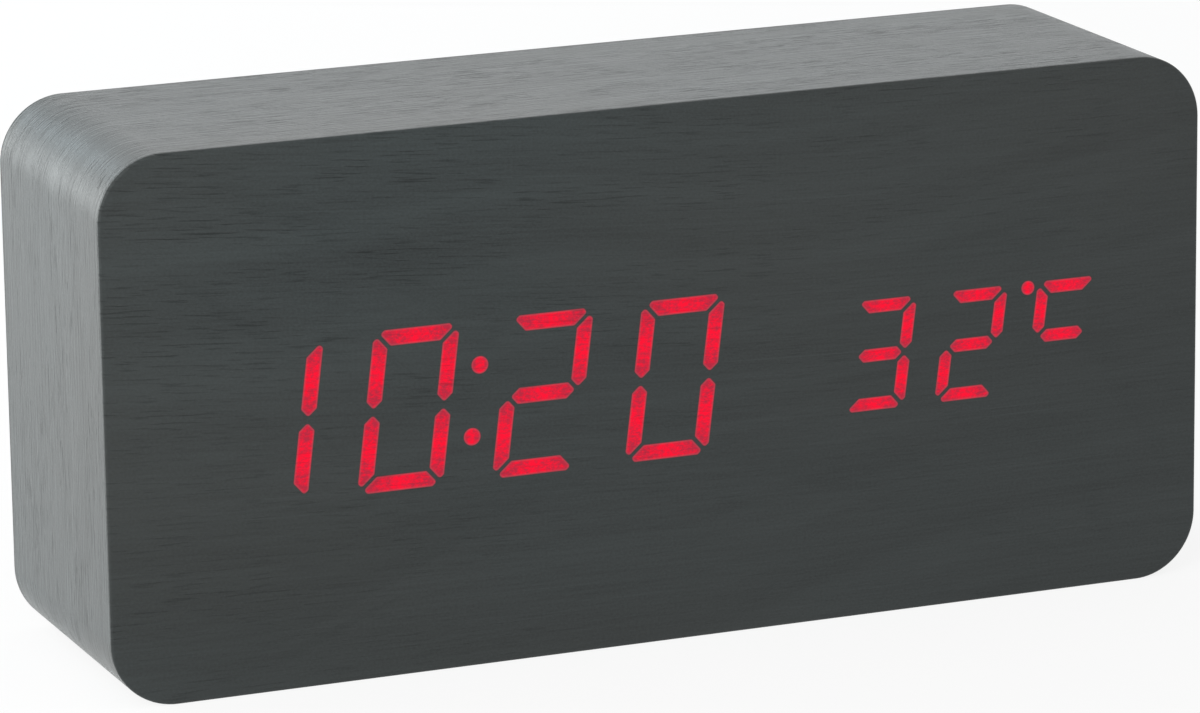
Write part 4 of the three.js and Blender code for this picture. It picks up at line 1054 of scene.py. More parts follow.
# %% The band
def make_band():
    """A closed band: rings along a profile that goes back along the outer face and forward along
    the inner one. Its UV map holds the distance round the outline and the depth, in metres."""
    front, back = -JOINT_Y, JOINT_Y
    outer = [(GLUE_DIP, front), (0, front + GLUE_WIDTH), (0, back - GLUE_WIDTH), (GLUE_DIP, back)]
    inner = [(BAND_THICKNESS, back), (BAND_THICKNESS, front)]
    grid = rings(case_shape, [*outer, *inner])
    rows, sides = grid.shape[:2]
    faces = quads(rows, sides, closed=True)
    mesh = bpy.data.meshes.new("band")
    mesh.from_pydata((grid.reshape(-1, 3) * MM).tolist(), [], faces.tolist())
    edge = np.concatenate([grid[1], grid[1][:1]])
    distance = np.concatenate([[0], np.cumsum(np.linalg.norm(np.diff(edge, axis=0), axis=1))])
    side = np.tile(np.arange(sides), rows)
    across = np.stack([distance[side], distance[side + 1]], 1)[:, [0, 1, 1, 0]]
    depth = grid.reshape(-1, 3)[faces, 1]
    layer = mesh.uv_layers.new(name="grain")
    layer.data.foreach_set("uv", (np.stack([across, depth], -1) * MM).ravel().astype(np.float32))
    whole = bmesh.new()
    whole.from_mesh(mesh)
    bmesh.ops.recalc_face_normals(whole, faces=whole.faces)
    whole.to_mesh(mesh)
    whole.free()
    return finish_piece(
        "veneer_wrap", mesh, band_veneer, "clock_body", ["case_wrap"], 30
    )


band = make_band()
print("open edges:", open_edges(band))

# %% [markdown]
# ## Moulded plastic
# The cover, the door and the tray are moulded in black plastic with a fine matt texture, the one
# that a spark-eroded mould leaves. It is a small even grain in the surface with a slight change of
# gloss. One group serves every plastic here, each with its own size of grain.

# %% The moulded texture group
GLOSS_SCALE = (70, 70, 70)
GLOSS_HEIGHT = 0.3
FINE_GRAINS = 2600.0
PLASTIC_IOR = 1.5


def build_moulded_texture():
    """Grain is a fine noise, gloss a slow one, and height the two together."""
    tree, start, end = new_group(
        "moulded_texture",
        [("Place", "Vector", None), ("Grains per metre", "Float", FINE_GRAINS)],
        [("Grain", "Float"), ("Gloss", "Float"), ("Height", "Float")],
    )
    place = start.outputs["Place"]
    inputs = {"Vector": place, "Scale": start.outputs["Grains per metre"], "Detail": 2.0}
    grain = add_node(tree, "TexNoise", inputs).outputs["Fac"]
    gloss = noise(tree, place, GLOSS_SCALE, 2.0)
    height = maths(tree, "MULTIPLY_ADD", gloss, GLOSS_HEIGHT, grain)
    for socket, name in ((grain, "Grain"), (gloss, "Gloss"), (height, "Height")):
        tree.links.new(socket, end.inputs[name])
    return tree


moulded_texture = build_moulded_texture()
print("moulded texture group with", len(moulded_texture.nodes), "nodes")


# %% Plastics
def build_plastic(name, colour, roughness, grains=FINE_GRAINS, depth=0.02):
    """A moulded plastic of a colour. The grain shades it by up to a fifth, and a slow noise varies
    its roughness. The texture's depth is in millimetres."""
    material, tree, shader = new_finish(name, IOR=PLASTIC_IOR)
    inputs = {"Place": object_place(tree), "Grains per metre": grains}
    texture = use_group(tree, moulded_texture, inputs)
    shade = varied(tree, texture["Grain"], colour, 0.82, 1.2)
    tree.links.new(shade, shader.inputs["Base Color"])
    gloss = between(tree, texture["Gloss"], *NOISE_RANGE, roughness - 0.05, roughness + 0.06)
    tree.links.new(gloss, shader.inputs["Roughness"])
    raise_surface(tree, shader, texture["Height"], depth * MM)
    return material


cover_plastic = build_plastic("cover_plastic", (0.014, 0.015, 0.016), 0.55, 1500.0, 0.035)
tray_plastic = build_plastic("tray_plastic", (0.019, 0.020, 0.022), 0.5, 2200.0, 0.02)
button_plastic = build_plastic("button_plastic", (0.009, 0.009, 0.010), 0.34, 3200.0, 0.006)
socket_plastic = build_plastic("socket_plastic", (0.012, 0.012, 0.013), 0.4, 2600.0, 0.01)
mask_plastic = build_plastic("mask_plastic", (0.005, 0.005, 0.006), 0.75)
chip_resin = build_plastic("chip_resin", (0.010, 0.010, 0.011), 0.6, 3600.0, 0.01)
connector_nylon = build_plastic("connector_nylon", (0.70, 0.66, 0.55), 0.45, 2000.0, 0.01)
print("plastics ready")

# %% [markdown]
# ## The rear cover
# The cover is one moulding with many openings. Each opening is a ring profile of its own: the
# buttons sit in shallow dishes, the screws in stepped wells, and the slots for sound and air have
# rounded ends. A boolean could cut them, but then their rims would be sharp and have to be
# bevelled later.

# %% Places on the cover
COVER_INNER_Y = 18
cover_low, cover_high = box_of("rear_cover")
door_low, door_high = box_of("battery_door")
DOOR_GAP = 0.2


def middle_of(node):
    """The middle of a CAD node in X and Z, in millimetres."""
    low, high = box_of(node)
    return (low[0] + high[0]) / 2, (low[2] + high[2]) / 2


button_places = {name: middle_of(name + "_button") for name in ("down", "up", "set")}
screw_places = [middle_of(f"rear_screw_{index}") for index in range(1, 5)]
jack_place = middle_of("dc_jack")
buzzer_place = middle_of("buzzer")
microphone_place = middle_of("microphone")
vent_place = middle_of("thermistor")
print({name: [round(v, 1) for v in place] for name, place in button_places.items()})


# %% The door's opening with its thumb notch
NOTCH_RADIUS = 7
NOTCH_RISE = 2.4
NOTCH_DEPTH = 0.9
NOTCH_POINTS = 20
OPENING_HEIGHT = 46.0
OPENING_BOTTOM = door_high[2] + DOOR_GAP - OPENING_HEIGHT
OPENING_CORNER = 0.3
CORNER_STEPS = 4


def door_opening(inset, notch=True):
    """A rectangle with small round corners. Its upper edge carries an arc of points that bulge up
    into the thumb notch, or lie along the edge below the notch's floor."""
    x0, x1 = door_low[0] - DOOR_GAP + inset, door_high[0] + DOOR_GAP - inset
    z0, z1 = OPENING_BOTTOM + inset, OPENING_BOTTOM + OPENING_HEIGHT - inset
    square = [(x0, z0), (x1, z0), (x1, z1), (x0, z1)]
    corners = outline(square, OPENING_CORNER, 0, CORNER_STEPS)
    centre_z = OPENING_BOTTOM + OPENING_HEIGHT + NOTCH_RISE - NOTCH_RADIUS
    radius = NOTCH_RADIUS - inset
    start = math.asin((z1 - centre_z) / radius)
    angle = np.linspace(start, math.pi - start, NOTCH_POINTS)
    arc_x, arc_z = (x0 + x1) / 2 + radius * np.cos(angle), centre_z + radius * np.sin(angle)
    arc = np.stack([arc_x, arc_z if notch else np.full(NOTCH_POINTS, z1)], 1)
    third_corner = 3 * CORNER_STEPS
    return np.concatenate([corners[:third_corner], arc, corners[third_corner:]])


def door_opening_rings():
    """Rings from the outer face, round the rim, down to the notch's floor and through the
    plate."""
    steps = [(-0.15, REAR_Y, True), (-0.11, REAR_Y - 0.01, True), (-0.04, REAR_Y - 0.05, True)]
    steps += [(0, REAR_Y - 0.15, True), (0, REAR_Y - NOTCH_DEPTH, True)]
    steps += [(0, REAR_Y - NOTCH_DEPTH, False), (0, COVER_INNER_Y, False)]
    return np.stack([np.insert(door_opening(a, notch), 1, y, axis=1) for a, y, notch in steps])


print("door opening:", door_opening(0).min(0).round(2), door_opening(0).max(0).round(2))


# %% The other openings
SOUND_SLOT = {"width": 1.1, "height": 9, "corner": 0.5, "pitch": 2.5}
VENT_SLOT = {"width": 5, "height": 0.9, "corner": 0.42, "pitch": 2}


def through(shape, rim_radius=0.2):
    """A plain hole with a rounded rim, from the outer face to the inner one."""
    return rings(shape, hole([*rim(REAR_Y, -1, rim_radius), (0, COVER_INNER_Y)]))


def screw_well(x, z):
    """A wide well for the head over a narrow hole for the shank."""
    steps = [*rim(REAR_Y, -1, 0.2), (0, 18.6), (-1.0, 18.6), (-1.0, COVER_INNER_Y)]
    return rings(round_shape(x, z, 2.5), hole(steps))


def button_dish(x, z):
    """A shallow dish with a soft floor, round the button's hole."""
    steps = [*rim(REAR_Y, -1, 0.25), (0, 19.62), (-0.06, 19.46), (-0.2, 19.35), (-0.4, 19.3)]
    steps += [(-1.05, 19.3), (-1.15, 19.27), (-1.2, 19.18), (-1.2, COVER_INNER_Y)]
    return rings(round_shape(x, z, 4.4, 64), hole(steps))


def microphone_cone(x, z):
    """A small cone that leads sound to the microphone."""
    steps = [*rim(REAR_Y, -1, 0.2), (-0.05, 19.72), (-1.1, 19.42), (-1.2, 19.3)]
    return rings(round_shape(x, z, 2.0, 32), hole([*steps, (-1.2, COVER_INNER_Y)]))


def slot_at(x, z, slot, rim_radius=0.2):
    """A slot with rounded ends about a centre."""
    shape = box_at(x, z, slot["width"], slot["height"], slot["corner"])
    return through(shape, rim_radius)


sound_slots = [
    slot_at(buzzer_place[0] + step * SOUND_SLOT["pitch"], buzzer_place[1], SOUND_SLOT)
    for step in (-2, -1, 0, 1, 2)
]
vent_slots = [
    slot_at(vent_place[0], vent_place[1] + step * VENT_SLOT["pitch"], VENT_SLOT, 0.15)
    for step in (-1, 0, 1)
]
print(len(sound_slots), "sound slots,", len(vent_slots), "vents")


# %% The cover itself
STAKE_FROM_TRAY_END = 1.95


def post(x, z):
    """A tapered post that the circuit board stands on, with a hole for its screw."""
    steps = [(0, 14.9), (1.1, 14.9), (1.1, 9.6), (1.25, 9.5), (2.35, 9.5), (2.5, 9.7), (2.6, 18.9)]
    return turned([*steps, (0, 18.9)], (x, 0, z), sides=24)


def stake(x, z):
    """A pin through the battery tray's ear, with its head melted flat."""
    steps = [(0, 15.4), (1.2, 15.4), (1.6, 15.6), (1.7, 16.0), (1.6, 16.4), (1.0, 16.4)]
    return turned([*steps, (1.0, 18.9), (0, 18.9)], (x, 0, z), sides=24)


def rear_cover():
    """The plate with all its openings, the posts and the stakes."""
    plate = box_shape(cover_low[0], cover_high[0], cover_low[2], cover_high[2], 3.7, 8)
    steps = [*rim(REAR_Y, -1, 0.3), (0, 18.15), (0.15, COVER_INNER_Y)]
    openings = [door_opening_rings(), *sound_slots, *vent_slots]
    openings += [screw_well(*place) for place in screw_places]
    openings += [button_dish(*place) for place in button_places.values()]
    openings += [through(round_shape(*jack_place, 3.6), 0.3), microphone_cone(*microphone_place)]
    tray_low, tray_high = box_of("battery_tray")
    middle_z = CASE_HEIGHT / 2
    stake_x = tray_low[0] + STAKE_FROM_TRAY_END, tray_high[0] - STAKE_FROM_TRAY_END
    stakes = [stake(x, middle_z) for x in stake_x]
    posts = [post(*middle_of(f"board_screw_{index}")) for index in (1, 2, 3)]
    return together(body_of_rings(rings(plate, steps), *openings), *posts, *stakes)


cover_piece = make_piece(
    "rear_plate", rear_cover(), cover_plastic, stands_for=["rear_cover"]
)
print("open edges:", open_edges(cover_piece))

# %% [markdown]
# ## Buttons and the power socket
# A button is one turned profile of radius against depth. Its cap is slightly hollow, so that a
# fingertip finds its middle. The socket is a box on the board with a turned neck.


# %% Buttons
def button_cap():
    """Profile of a button: a stem, a flange that keeps it in, a cap with a soft rim and a
    hollow."""
    steps = [(0, 14.2), (1.45, 14.2), (1.6, 14.35), (1.6, 16.7), (3.9, 16.7), (4.0, 16.8)]
    steps += [(4.0, 17.6), (3.9, 17.7), (3.0, 17.7), (3.0, 19.25), (2.96, 19.45), (2.85, 19.6)]
    steps += [(2.68, 19.68), (2.5, 19.7), (2.3, 19.66), (1.8, 19.53), (1.2, 19.44), (0.6, 19.39)]
    return [*steps, (0, 19.38)]


for name, (x, z) in button_places.items():
    make_piece(
        name + "_cap",
        turned(button_cap(), (x, 0, z), sides=64),
        button_plastic,
        body="button_" + name,
        stands_for=[name + "_button"],
    )


# %% Power socket
def power_socket():
    """A body on the board and a round neck with a bore for the plug."""
    x, z = jack_place
    body = rings(box_at(x, z, 9, 9, 0.4), [*rim(17.7, -1, 0.3), (0, 9.7), (0.2, 9.5)])
    neck = [(0, 9.6), (3.3, 9.6), (3.3, 19.4), (3.2, 19.62), (2.98, 19.7), (2.3, 19.7)]
    neck += [(2.05, 19.62), (1.88, 19.42), (1.85, 19.2), (1.85, 10.7), (0, 10.7)]
    return together(body_of_rings(body), turned(neck, (x, 0, z)))


make_piece(
    "power_socket",
    power_socket(),
    socket_plastic,
    stands_for=["dc_jack"],
)

# %% [markdown]
# ## Metals
# Steel parts share one finish: a grey metal whose roughness changes in fine streaks. The rear
# screws are blackened, so theirs is nearly black and a little rougher in patches.

# %% Metal finishes
STAIN_SCALE = (120, 120, 120)
STREAK_DEPTH = 0.004 * MM


def build_metal(name, colour, roughness, streaks=(300, 2500, 300), metallic=1.0):
    """A metal whose colour and roughness vary a little in streaks."""
    material, tree, shader = new_finish(name, Metallic=metallic)
    place = object_place(tree)
    streak = noise(tree, place, streaks, 3.0, 0.6)
    stain = noise(tree, place, STAIN_SCALE, 2.0)
    shade = varied(tree, stain, colour, 0.8, 1.1)
    tree.links.new(shade, shader.inputs["Base Color"])
    rough = between(tree, streak, *NOISE_RANGE, roughness - 0.06, roughness + 0.1)
    tree.links.new(rough, shader.inputs["Roughness"])
    raise_surface(tree, shader, streak, STREAK_DEPTH)
    return material


bright_steel = build_metal("bright_steel", (0.56, 0.57, 0.58), 0.3)
black_steel = build_metal("black_steel", (0.05, 0.05, 0.055), 0.38, (900, 900, 900), 0.8)
print(bright_steel.name, "and", black_steel.name, "ready")


# %% Socket pin
def pin():
    """The steel pin in the socket, with a rounded tip."""
    steps = [(0, 10.4), (0.65, 10.4), (0.65, 17.8), (0.6, 18.0), (0.45, 18.14), (0.2, 18.2)]
    return turned([*steps, (0, 18.2)], (jack_place[0], 0, jack_place[1]), sides=24)


make_piece("socket_pin", pin(), bright_steel)

# %% [markdown]
# ### The rear screws
# A screw's head shows at every corner of the cover, so it gets a real cross. On a grid of angle
# and radius the cross is only a dip in the height, which needs no boolean and leaves an even mesh.

# %% Rear screws
HEAD_RADIUS = 2.2
HEAD_BASE_Y = 18.6
HEAD_TOP_Y = 19.8
CROSS_HALF_LENGTH = 1.3
CROSS_HALF_WIDTH = 0.34
CROSS_DEPTH = 0.75
CROSS_WALL = 0.14
DOME_DROP = 0.22
RIM_DROP = 0.35
RIM_START = 0.82


def screw_head_grid(sides=72, rows=26):
    """The head on a grid of angle and radius. Its height is a low dome that turns down at the rim,
    less a cross: two bars with steep walls, each narrower towards its floor."""
    radius = np.linspace(0, HEAD_RADIUS, rows)[:, None]
    angle = np.linspace(0, FULL_TURN, sides, endpoint=False)[None, :]
    across, up = radius * np.cos(angle), radius * np.sin(angle)
    share = radius / HEAD_RADIUS
    rim_share = np.clip((share - RIM_START) / (1 - RIM_START), 0, 1)
    dome = HEAD_TOP_Y - DOME_DROP * share**2 - RIM_DROP * rim_share**2
    wall = lambda half, value: np.clip((half - np.abs(value)) / CROSS_WALL, 0, 1)
    one = np.minimum(wall(CROSS_HALF_LENGTH, across), wall(CROSS_HALF_WIDTH, up))
    other = np.minimum(wall(CROSS_HALF_WIDTH, across), wall(CROSS_HALF_LENGTH, up))
    level = dome - CROSS_DEPTH * np.maximum(one, other)
    return np.stack([across + 0 * level, level, up + 0 * level], -1)


def screw_at(x, z):
    """A screw: the shaped top, the head's side and the shank, as one closed grid of rings."""
    top = screw_head_grid()
    angle = np.linspace(0, FULL_TURN, top.shape[1], endpoint=False)
    lower = [(HEAD_RADIUS, HEAD_BASE_Y), (1.3, HEAD_BASE_Y), (1.3, 9.9), (0.9, 9.6), (0, 9.6)]
    ring = lambda r, y: np.stack([r * np.cos(angle), np.full(len(angle), y), r * np.sin(angle)], 1)
    grid = np.concatenate([top, np.stack([ring(r, y) for r, y in lower])])
    points = grid.reshape(-1, 3) + np.array([x, 0, z])
    return points, quads(*grid.shape[:2]).tolist()


for index, place in enumerate(screw_places, 1):
    make_piece(
        f"cover_screw_{index}",
        screw_at(*place),
        black_steel,
        stands_for=[f"rear_screw_{index}"],
        smooth=50,
    )

# %% [markdown]
# ## Marks on the cover
# Small marks are printed below the buttons and the socket: a triangle that points down, one that
# points up, and two short words. Print is a very thin layer of pale ink, so each mark is a flat
# shape that stands a few hundredths of a millimetre above the plastic.

# %% Printed marks
INK_HEIGHT = 0.03
INK_SINK = 0.02
INK_GAP = (0.08, 0.08, 0.085)
INK_PALE = (0.6, 0.6, 0.6)
MARK_DROP = 7.2
WORD_DROP = 6.6


def build_ink():
    """Pale grey ink with small gaps where the texture below shows through."""
    material, tree, shader = new_finish("print_ink", Roughness=0.6)
    speck = noise(tree, object_place(tree), (2200, 2200, 2200), 2.0, 0.7)
    shade = blend_colours(tree, between(tree, speck, 0.28, 0.42), INK_GAP, INK_PALE)
    tree.links.new(shade, shader.inputs["Base Color"])
    raise_surface(tree, shader, speck, 0.01 * MM)
    return material


print_ink = build_ink()


def triangle_mark(x, z, up):
    """A small triangle with rounded corners that points up or down."""
    side = 1 if up else -1
    foot = z - side * 1.0
    corners = [(x - side * 1.3, foot), (x + side * 1.3, foot), (x, z + side * 1.1)]
    profile = [(0, REAR_Y + INK_HEIGHT), (0, REAR_Y - INK_SINK)]
    return body_of_rings(rings(lambda inset: outline(corners, 0.15, inset, 4), profile))


def word_mark(name, text, x, z, height):
    """A word as a mesh. Seen from behind, the letters run towards -X, so X is turned round. In
    depth they reach from the ink's height to a little below the plastic, as the triangles do."""
    curve = bpy.data.curves.new(name, "FONT")
    curve.body = text
    curve.align_x = "CENTER"
    curve.align_y = "CENTER"
    curve.size = height
    curve.extrude = (INK_HEIGHT + INK_SINK) / 2
    letters = bpy.data.objects.new(name + "_letters", curve)
    bpy.context.scene.collection.objects.link(letters)
    bpy.context.view_layer.update()
    mesh = bpy.data.meshes.new_from_object(letters)
    bpy.data.objects.remove(letters)
    flat = np.zeros(len(mesh.vertices) * 3)
    mesh.vertices.foreach_get("co", flat)
    flat = flat.reshape(-1, 3)
    depth = REAR_Y + (INK_HEIGHT - INK_SINK) / 2 + flat[:, 2]
    placed = np.stack([x - flat[:, 0], depth, z + flat[:, 1]], 1)
    mesh.vertices.foreach_set("co", (placed * MM).ravel())
    whole = bmesh.new()
    whole.from_mesh(mesh)
    bmesh.ops.remove_doubles(whole, verts=whole.verts, dist=1e-7)
    bmesh.ops.recalc_face_normals(whole, faces=whole.faces)
    whole.to_mesh(mesh)
    whole.free()
    return finish_piece(name, mesh, print_ink, "clock_body", ())


for name, up in (("down", False), ("up", True)):
    x, z = button_places[name]
    make_piece(name + "_mark", triangle_mark(x, z - MARK_DROP, up), print_ink)
x, z = button_places["set"]
word_mark("set_mark", "SET", x, z - MARK_DROP, 3.0)
word_mark("socket_mark", "DC 5V", jack_place[0], jack_place[1] - WORD_DROP, 2.6)

# %% [markdown]
# ## The battery bay
# Behind the door lie four small round cells in a tray, with sprung steel contacts at both ends.
# The tray and the door keep the CAD model's shape, and a Bevel modifier rounds their edges, which
# is enough for flat mouldings. The cells and the springs are round, so they are made afresh.

# %% Tray and door
softened("battery_tray", tray_plastic, "clock_body", 0.2, 2)
softened("battery_door", cover_plastic, "door", 0.16, 3)

# %% [markdown]
# ### The cells
# A cell is a steel can in a printed sleeve. The sleeve is shrunk over the ends, so its edge turns
# in. Its colours change along its length, and an attribute tells the finish how far along the cell
# a point lies, from 0 at the flat end to 1 at the one with the nub.

# %% Cell finish
SILVER_BAND = (0.715, 0.975)
WHITE_STRIPE = (0.69, 0.71)
BAND_BLUR = 0.005
SLEEVE_DARK = (0.020, 0.045, 0.10)
SLEEVE_PALE = (0.026, 0.055, 0.12)
SILVER_COLOUR = (0.55, 0.56, 0.58)
STRIPE_COLOUR = (0.75, 0.75, 0.75)
CAN_COLOUR = (0.6, 0.6, 0.6)


def printed_band(tree, along, start, end):
    """A mask that is one between two places along the cell, with a thin blur inside each edge."""
    rising = between(tree, along, start, start + BAND_BLUR)
    return maths(tree, "MULTIPLY", rising, between(tree, along, end, end - BAND_BLUR))


def build_cell_sleeve():
    """Bands along the cell: bare steel at the ends, a dark sleeve, and a silver band near the
    nub."""
    material, tree, shader = new_finish("cell_sleeve", Roughness=0.3, IOR=1.5)
    along = add_node(tree, "Attribute", attribute_name="along").outputs["Fac"]
    speck = noise(tree, object_place(tree), (900, 900, 900), 2.0)
    silver = printed_band(tree, along, *SILVER_BAND)
    stripe = printed_band(tree, along, *WHITE_STRIPE)
    sleeve = between(tree, speck, *NOISE_RANGE)
    sleeve = blend_colours(tree, sleeve, SLEEVE_DARK, SLEEVE_PALE)
    sleeve = blend_colours(tree, silver, sleeve, SILVER_COLOUR)
    sleeve = blend_colours(tree, stripe, sleeve, STRIPE_COLOUR)
    nub_end = between(tree, along, 0.993, 0.996)
    bare = maths(tree, "MAXIMUM", nub_end, between(tree, along, 0.004, 0.001))
    colour = blend_colours(tree, bare, sleeve, CAN_COLOUR)
    tree.links.new(colour, shader.inputs["Base Color"])
    metal = maths(tree, "MAXIMUM", bare, maths(tree, "MULTIPLY", silver, 0.8))
    tree.links.new(metal, shader.inputs["Metallic"])
    raise_surface(tree, shader, speck, 0.004 * MM)
    return material


cell_sleeve = build_cell_sleeve()
print(cell_sleeve.name, "with", len(cell_sleeve.node_tree.nodes), "nodes")


# %% Cells
def cell_profile(radius, length):
    """Half outline of a cell from the flat end to the nub: the sleeve's turned edge, the can's
    side, the shoulder and the nub."""
    tip, shoulder = length / 2, length / 2 - 1.0
    steps = [(0, -tip + 0.15), (3.6, -tip + 0.15), (3.9, -tip), (radius - 0.35, -tip)]
    steps += [(radius - 0.1, -tip + 0.1), (radius, -tip + 0.35), (radius, shoulder - 0.5)]
    steps += [(radius - 0.1, shoulder - 0.15), (radius - 0.4, shoulder), (3.4, shoulder)]
    steps += [(3.1, shoulder - 0.2), (2.1, shoulder - 0.2), (1.9, shoulder), (1.9, tip - 0.2)]
    return [*steps, (1.7, tip - 0.03), (1.4, tip), (0, tip)]


def make_cell(index):
    """A cell in its place in the tray. Every second cell is turned end for end."""
    node = f"battery_cell_{index}"
    low, high = box_of(node)
    middle = (low + high) / 2
    radius, length = (high[2] - low[2]) / 2, high[0] - low[0]
    points, faces = turned(cell_profile(radius, length), (0, 0, 0), axis="x", sides=56)
    way = 1 if index % 2 else -1
    points = points * np.array([way, way, 1]) + middle
    cell = make_piece(
        f"cell_{index}",
        (points, faces),
        cell_sleeve,
        stands_for=[node],
    )
    places = np.zeros(len(cell.data.vertices) * 3)
    cell.data.vertices.foreach_get("co", places)
    along = way * (places.reshape(-1, 3)[:, 0] / MM - middle[0]) / length + 0.5
    attribute = cell.data.attributes.new("along", "FLOAT", "POINT")
    attribute.data.foreach_set("value", along.astype(np.float32))


for index in (1, 2, 3, 4):
    make_cell(index)

# %% [markdown]
# ### Contacts and springs
# A contact is a small plate against the end wall. Each cell's flat end is met by a conical spring
# wound from steel wire, and each nub by a dimple pressed into the plate. The spring is a circle
# carried along a helix whose radius shrinks towards the cell.

# %% Springs
SPRING_TURNS = 4
SPRING_RADIUS = 3.2
SPRING_FLAT_SHARE = 0.06
SPRING_POINTS = 150
WIRE_RADIUS = 0.3


def swept(path, radius, sides=8):
    """A round wire along a path: at each point a circle across the path's direction, with two flat
    caps. The circle's first axis is the direction crossed with X."""
    ahead = np.gradient(path, axis=0)
    ahead /= np.linalg.norm(ahead, axis=1)[:, None]
    first = np.cross(ahead, [1.0, 0.0, 0.0])
    first /= np.linalg.norm(first, axis=1)[:, None]
    second = np.cross(ahead, first)
    angle = np.linspace(0, FULL_TURN, sides, endpoint=False)[None, :, None]
    circle = np.cos(angle) * first[:, None] + np.sin(angle) * second[:, None]
    points = (path[:, None] + radius * circle).reshape(-1, 3)
    caps = [list(range(sides)), list(range(len(points) - sides, len(points)))]
    return points, [*quads(len(path), sides).tolist(), *caps]


def spring(base_x, tip_x, y, z):
    """A conical helix: the angle and the place along X grow evenly, the radius shrinks from 3.2 to
    2.2 mm, and both ends lie flat for a quarter turn."""
    share = np.linspace(0, 1, SPRING_POINTS)
    angle = share * SPRING_TURNS * FULL_TURN
    rise = np.clip((share - SPRING_FLAT_SHARE) / (1 - 2 * SPRING_FLAT_SHARE), 0, 1)
    radius = SPRING_RADIUS - share
    x = base_x + (tip_x - base_x) * rise
    path = np.stack([x, y + radius * np.cos(angle), z + radius * np.sin(angle)], 1)
    return swept(path, WIRE_RADIUS)


bay_low, bay_high = box_of("contact_negative")[0], box_of("contact_link_1")[1]
cell_boxes = [box_of(f"battery_cell_{index}") for index in (1, 2, 3, 4)]
cell_rows = [(low[2] + high[2]) / 2 for low, high in cell_boxes]
cell_y = (cell_boxes[0][0][1] + cell_boxes[0][1][1]) / 2
print("cell rows at z", [round(z, 2) for z in cell_rows], "y", round(cell_y, 2))

# %% Contacts
CONTACT_THICKNESS = 0.4
CONTACT_SIZE = 8
SPRING_LENGTH = 4.4
DIMPLE_RADIUS = 2
DIMPLE_HEIGHT = 0.5
BAY_ENDS = {-1: bay_low[0], 1: bay_high[0]}
# node: (end of the bay, rows with a dimple, rows with a spring, rows with a tab)
CONTACTS = {
    "contact_negative": (-1, [], [0], [0]),
    "contact_positive": (-1, [3], [], [3]),
    "contact_link_1": (1, [0], [1], []),
    "contact_link_2": (-1, [1], [2], []),
    "contact_link_3": (1, [2], [3], []),
}


def plate_at_end(end, y0, y1, z0, z1, radius):
    """A thin plate against an end wall, with round corners. It is drawn flat in X and Z, and then
    its axes are exchanged so that its thickness lies along X."""
    wall = BAY_ENDS[end]
    shape = box_shape(y0, y1, z0, z1, radius, 5)
    face = wall - end * CONTACT_THICKNESS
    profile = [*rim(face, end, 0.08, 3), (0, wall)]
    points, faces = body_of_rings(rings(shape, profile))
    return points[:, [1, 0, 2]], faces


def dimple(end, z):
    """A round dome pressed out of the plate: its height falls as one minus the radius squared."""
    wall = BAY_ENDS[end]
    share = np.linspace(1, 0, 7)
    reach = CONTACT_THICKNESS + DIMPLE_HEIGHT * (1 - share**2)
    foot = wall - end * 0.1
    steps = [(0, foot), (DIMPLE_RADIUS, foot), *zip(DIMPLE_RADIUS * share, wall - end * reach)]
    return turned(steps, (0, cell_y, z), axis="x", sides=28)


def contact(node):
    """A contact's plate, dimples, springs and tabs as one piece."""
    end, dimples, springs, tabs = CONTACTS[node]
    levels = [cell_rows[row] for row in dimples + springs]
    half = CONTACT_SIZE / 2
    y0, y1 = cell_y - half, cell_y + half
    bodies = [plate_at_end(end, y0, y1, min(levels) - half, max(levels) + half, 0.8)]
    bodies += [dimple(end, cell_rows[row]) for row in dimples]
    base = BAY_ENDS[end] - end * (CONTACT_THICKNESS + 0.02)
    tip = base - end * (SPRING_LENGTH - WIRE_RADIUS - 0.1)
    start = base - end * WIRE_RADIUS * 0.5
    bodies += [spring(start, tip, cell_y, cell_rows[row]) for row in springs]
    tab_y = box_of("contact_negative")[0][1]
    for row in tabs:
        z = cell_rows[row]
        bodies.append(plate_at_end(end, tab_y, cell_y, z - 1.5, z + 1.5, 0.3))
    return together(*bodies)


for node in CONTACTS:
    make_piece(
        node.replace("contact", "spring_contact"),
        contact(node),
        bright_steel,
        stands_for=[node],
    )

# %% [markdown]
# ## Inside the case
# These pieces show only when the clock is opened. Their shapes come straight from the CAD model,
# and each gets a finish of its own: pressed board with its flecks, a green circuit board with
# copper tracks under the lacquer, ribbed cable, and soft wire sheaths.

# %% Board and circuit finishes
FIBRE_DARK = (0.15, 0.085, 0.042)
FIBRE_PALE = (0.34, 0.22, 0.12)
FIBRE_CLOUD = (0.20, 0.12, 0.06)
LACQUER_DARK = (0.010, 0.075, 0.03)
LACQUER_PALE = (0.014, 0.10, 0.04)
TRACK_COLOUR = (0.03, 0.17, 0.06)


def build_pressed_board():
    """Pressed wood fibre: a brown with short pale and dark flecks in every direction."""
    material, tree, shader = new_finish("pressed_board", Roughness=0.85)
    place = object_place(tree)
    fleck = noise(tree, place, (900, 500, 900), 3.0, 0.7)
    cloud = noise(tree, place, (60, 60, 60), 2.0)
    shade = blend_colours(tree, between(tree, fleck, *NOISE_RANGE), FIBRE_DARK, FIBRE_PALE)
    shade = blend_colours(tree, between(tree, cloud, 0.35, 0.7, 0, 0.4), shade, FIBRE_CLOUD)
    tree.links.new(shade, shader.inputs["Base Color"])
    raise_surface(tree, shader, fleck, 0.06 * MM)
    return material


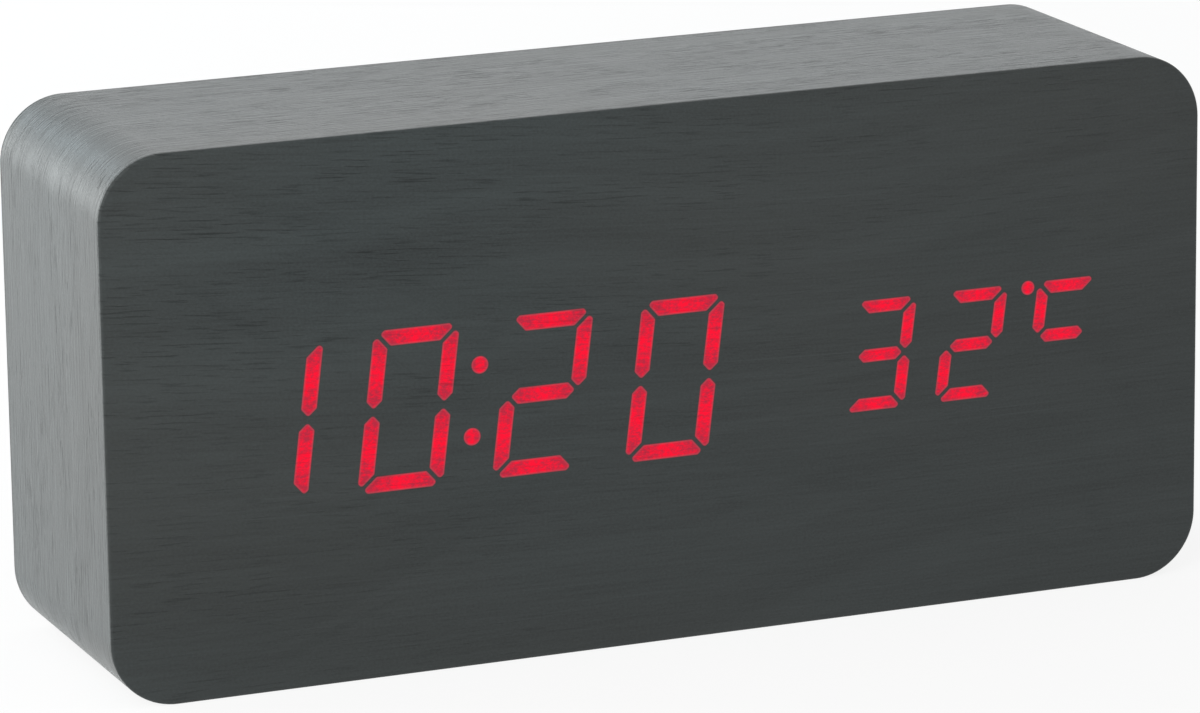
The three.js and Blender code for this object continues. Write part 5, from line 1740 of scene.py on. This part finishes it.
def build_circuit_board():
    """Green lacquer over tracks: lines where a cell pattern's borders lie, slightly raised."""
    material, tree, shader = new_finish("circuit_board", Roughness=0.35)
    place = object_place(tree)
    inputs = {"Vector": place, "Scale": 320.0, "Randomness": 0.35}
    cells = add_node(tree, "TexVoronoi", inputs, feature="DISTANCE_TO_EDGE", distance="EUCLIDEAN")
    track = between(tree, cells.outputs["Distance"], 0.10, 0.06)
    speck = noise(tree, place, (2000, 2000, 2000), 2.0)
    base = blend_colours(tree, between(tree, speck, *NOISE_RANGE), LACQUER_DARK, LACQUER_PALE)
    shade = blend_colours(tree, track, base, TRACK_COLOUR)
    tree.links.new(shade, shader.inputs["Base Color"])
    raise_surface(tree, shader, track, 0.03 * MM)
    return material


pressed_board = build_pressed_board()
circuit_board = build_circuit_board()
print(pressed_board.name, "and", circuit_board.name, "ready")

# %% Cable finishes
# The darker groove colour is painted shade between the ribs.
RIB_GROOVE_PAINTED_SHADE = (0.16, 0.17, 0.19)
RIB_TOP = (0.33, 0.35, 0.38)


def build_sheath(name, colour, roughness):
    """A soft sheath whose gloss and tone wander slowly along it."""
    material, tree, shader = new_finish(name)
    cloud = noise(tree, object_place(tree), (400, 400, 400), 2.0)
    shade = varied(tree, cloud, colour, 0.8, 1.15)
    tree.links.new(shade, shader.inputs["Base Color"])
    rough = between(tree, cloud, *NOISE_RANGE, roughness - 0.06, roughness + 0.06)
    tree.links.new(rough, shader.inputs["Roughness"])
    raise_surface(tree, shader, cloud, 0.01 * MM)
    return material


def build_ribbon():
    """A flat cable: ribs at an even pitch across its width, with painted shade in the grooves
    between them.
    """
    material, tree, shader = new_finish("ribbon_grey", Roughness=0.5)
    across = add_node(tree, "SeparateXYZ", {0: object_place(tree)}).outputs["X"]
    wave = maths(tree, "SINE", maths(tree, "MULTIPLY", across, FULL_TURN / MM))
    # Painted shade: the colour darkens in the grooves.
    shade = blend_colours(tree, between(tree, wave, -0.9, 0.3), RIB_GROOVE_PAINTED_SHADE, RIB_TOP)
    tree.links.new(shade, shader.inputs["Base Color"])
    raise_surface(tree, shader, wave, 0.1 * MM)
    return material


red_sheath = build_sheath("red_sheath", (0.42, 0.015, 0.012), 0.4)
black_sheath = build_sheath("black_sheath", (0.012, 0.012, 0.012), 0.4)
ribbon_grey = build_ribbon()
print(red_sheath.name, black_sheath.name, "and", ribbon_grey.name, "ready")

# %% Dress the CAD nodes that stay
dress(pressed_board, "case_core")
dress(circuit_board, "display_board", "main_board")
dress(mask_plastic, "segment_mask")
dress(chip_resin, "clock_chip", "buzzer", "thermistor", "down_switch", "up_switch", "set_switch")
dress(tray_plastic, "down_plunger", "up_plunger", "set_plunger")
dress(connector_nylon, "board_connector", "display_connector")
dress(ribbon_grey, "ribbon_cable")
dress(red_sheath, "battery_wire_positive")
dress(black_sheath, "battery_wire_negative")
dress(bright_steel, *[f"display_screw_{index}" for index in (1, 2, 3, 4)])
dress(bright_steel, *[f"board_screw_{index}" for index in (1, 2, 3)])
dress(bright_steel, "microphone", "crystal", "capacitor")
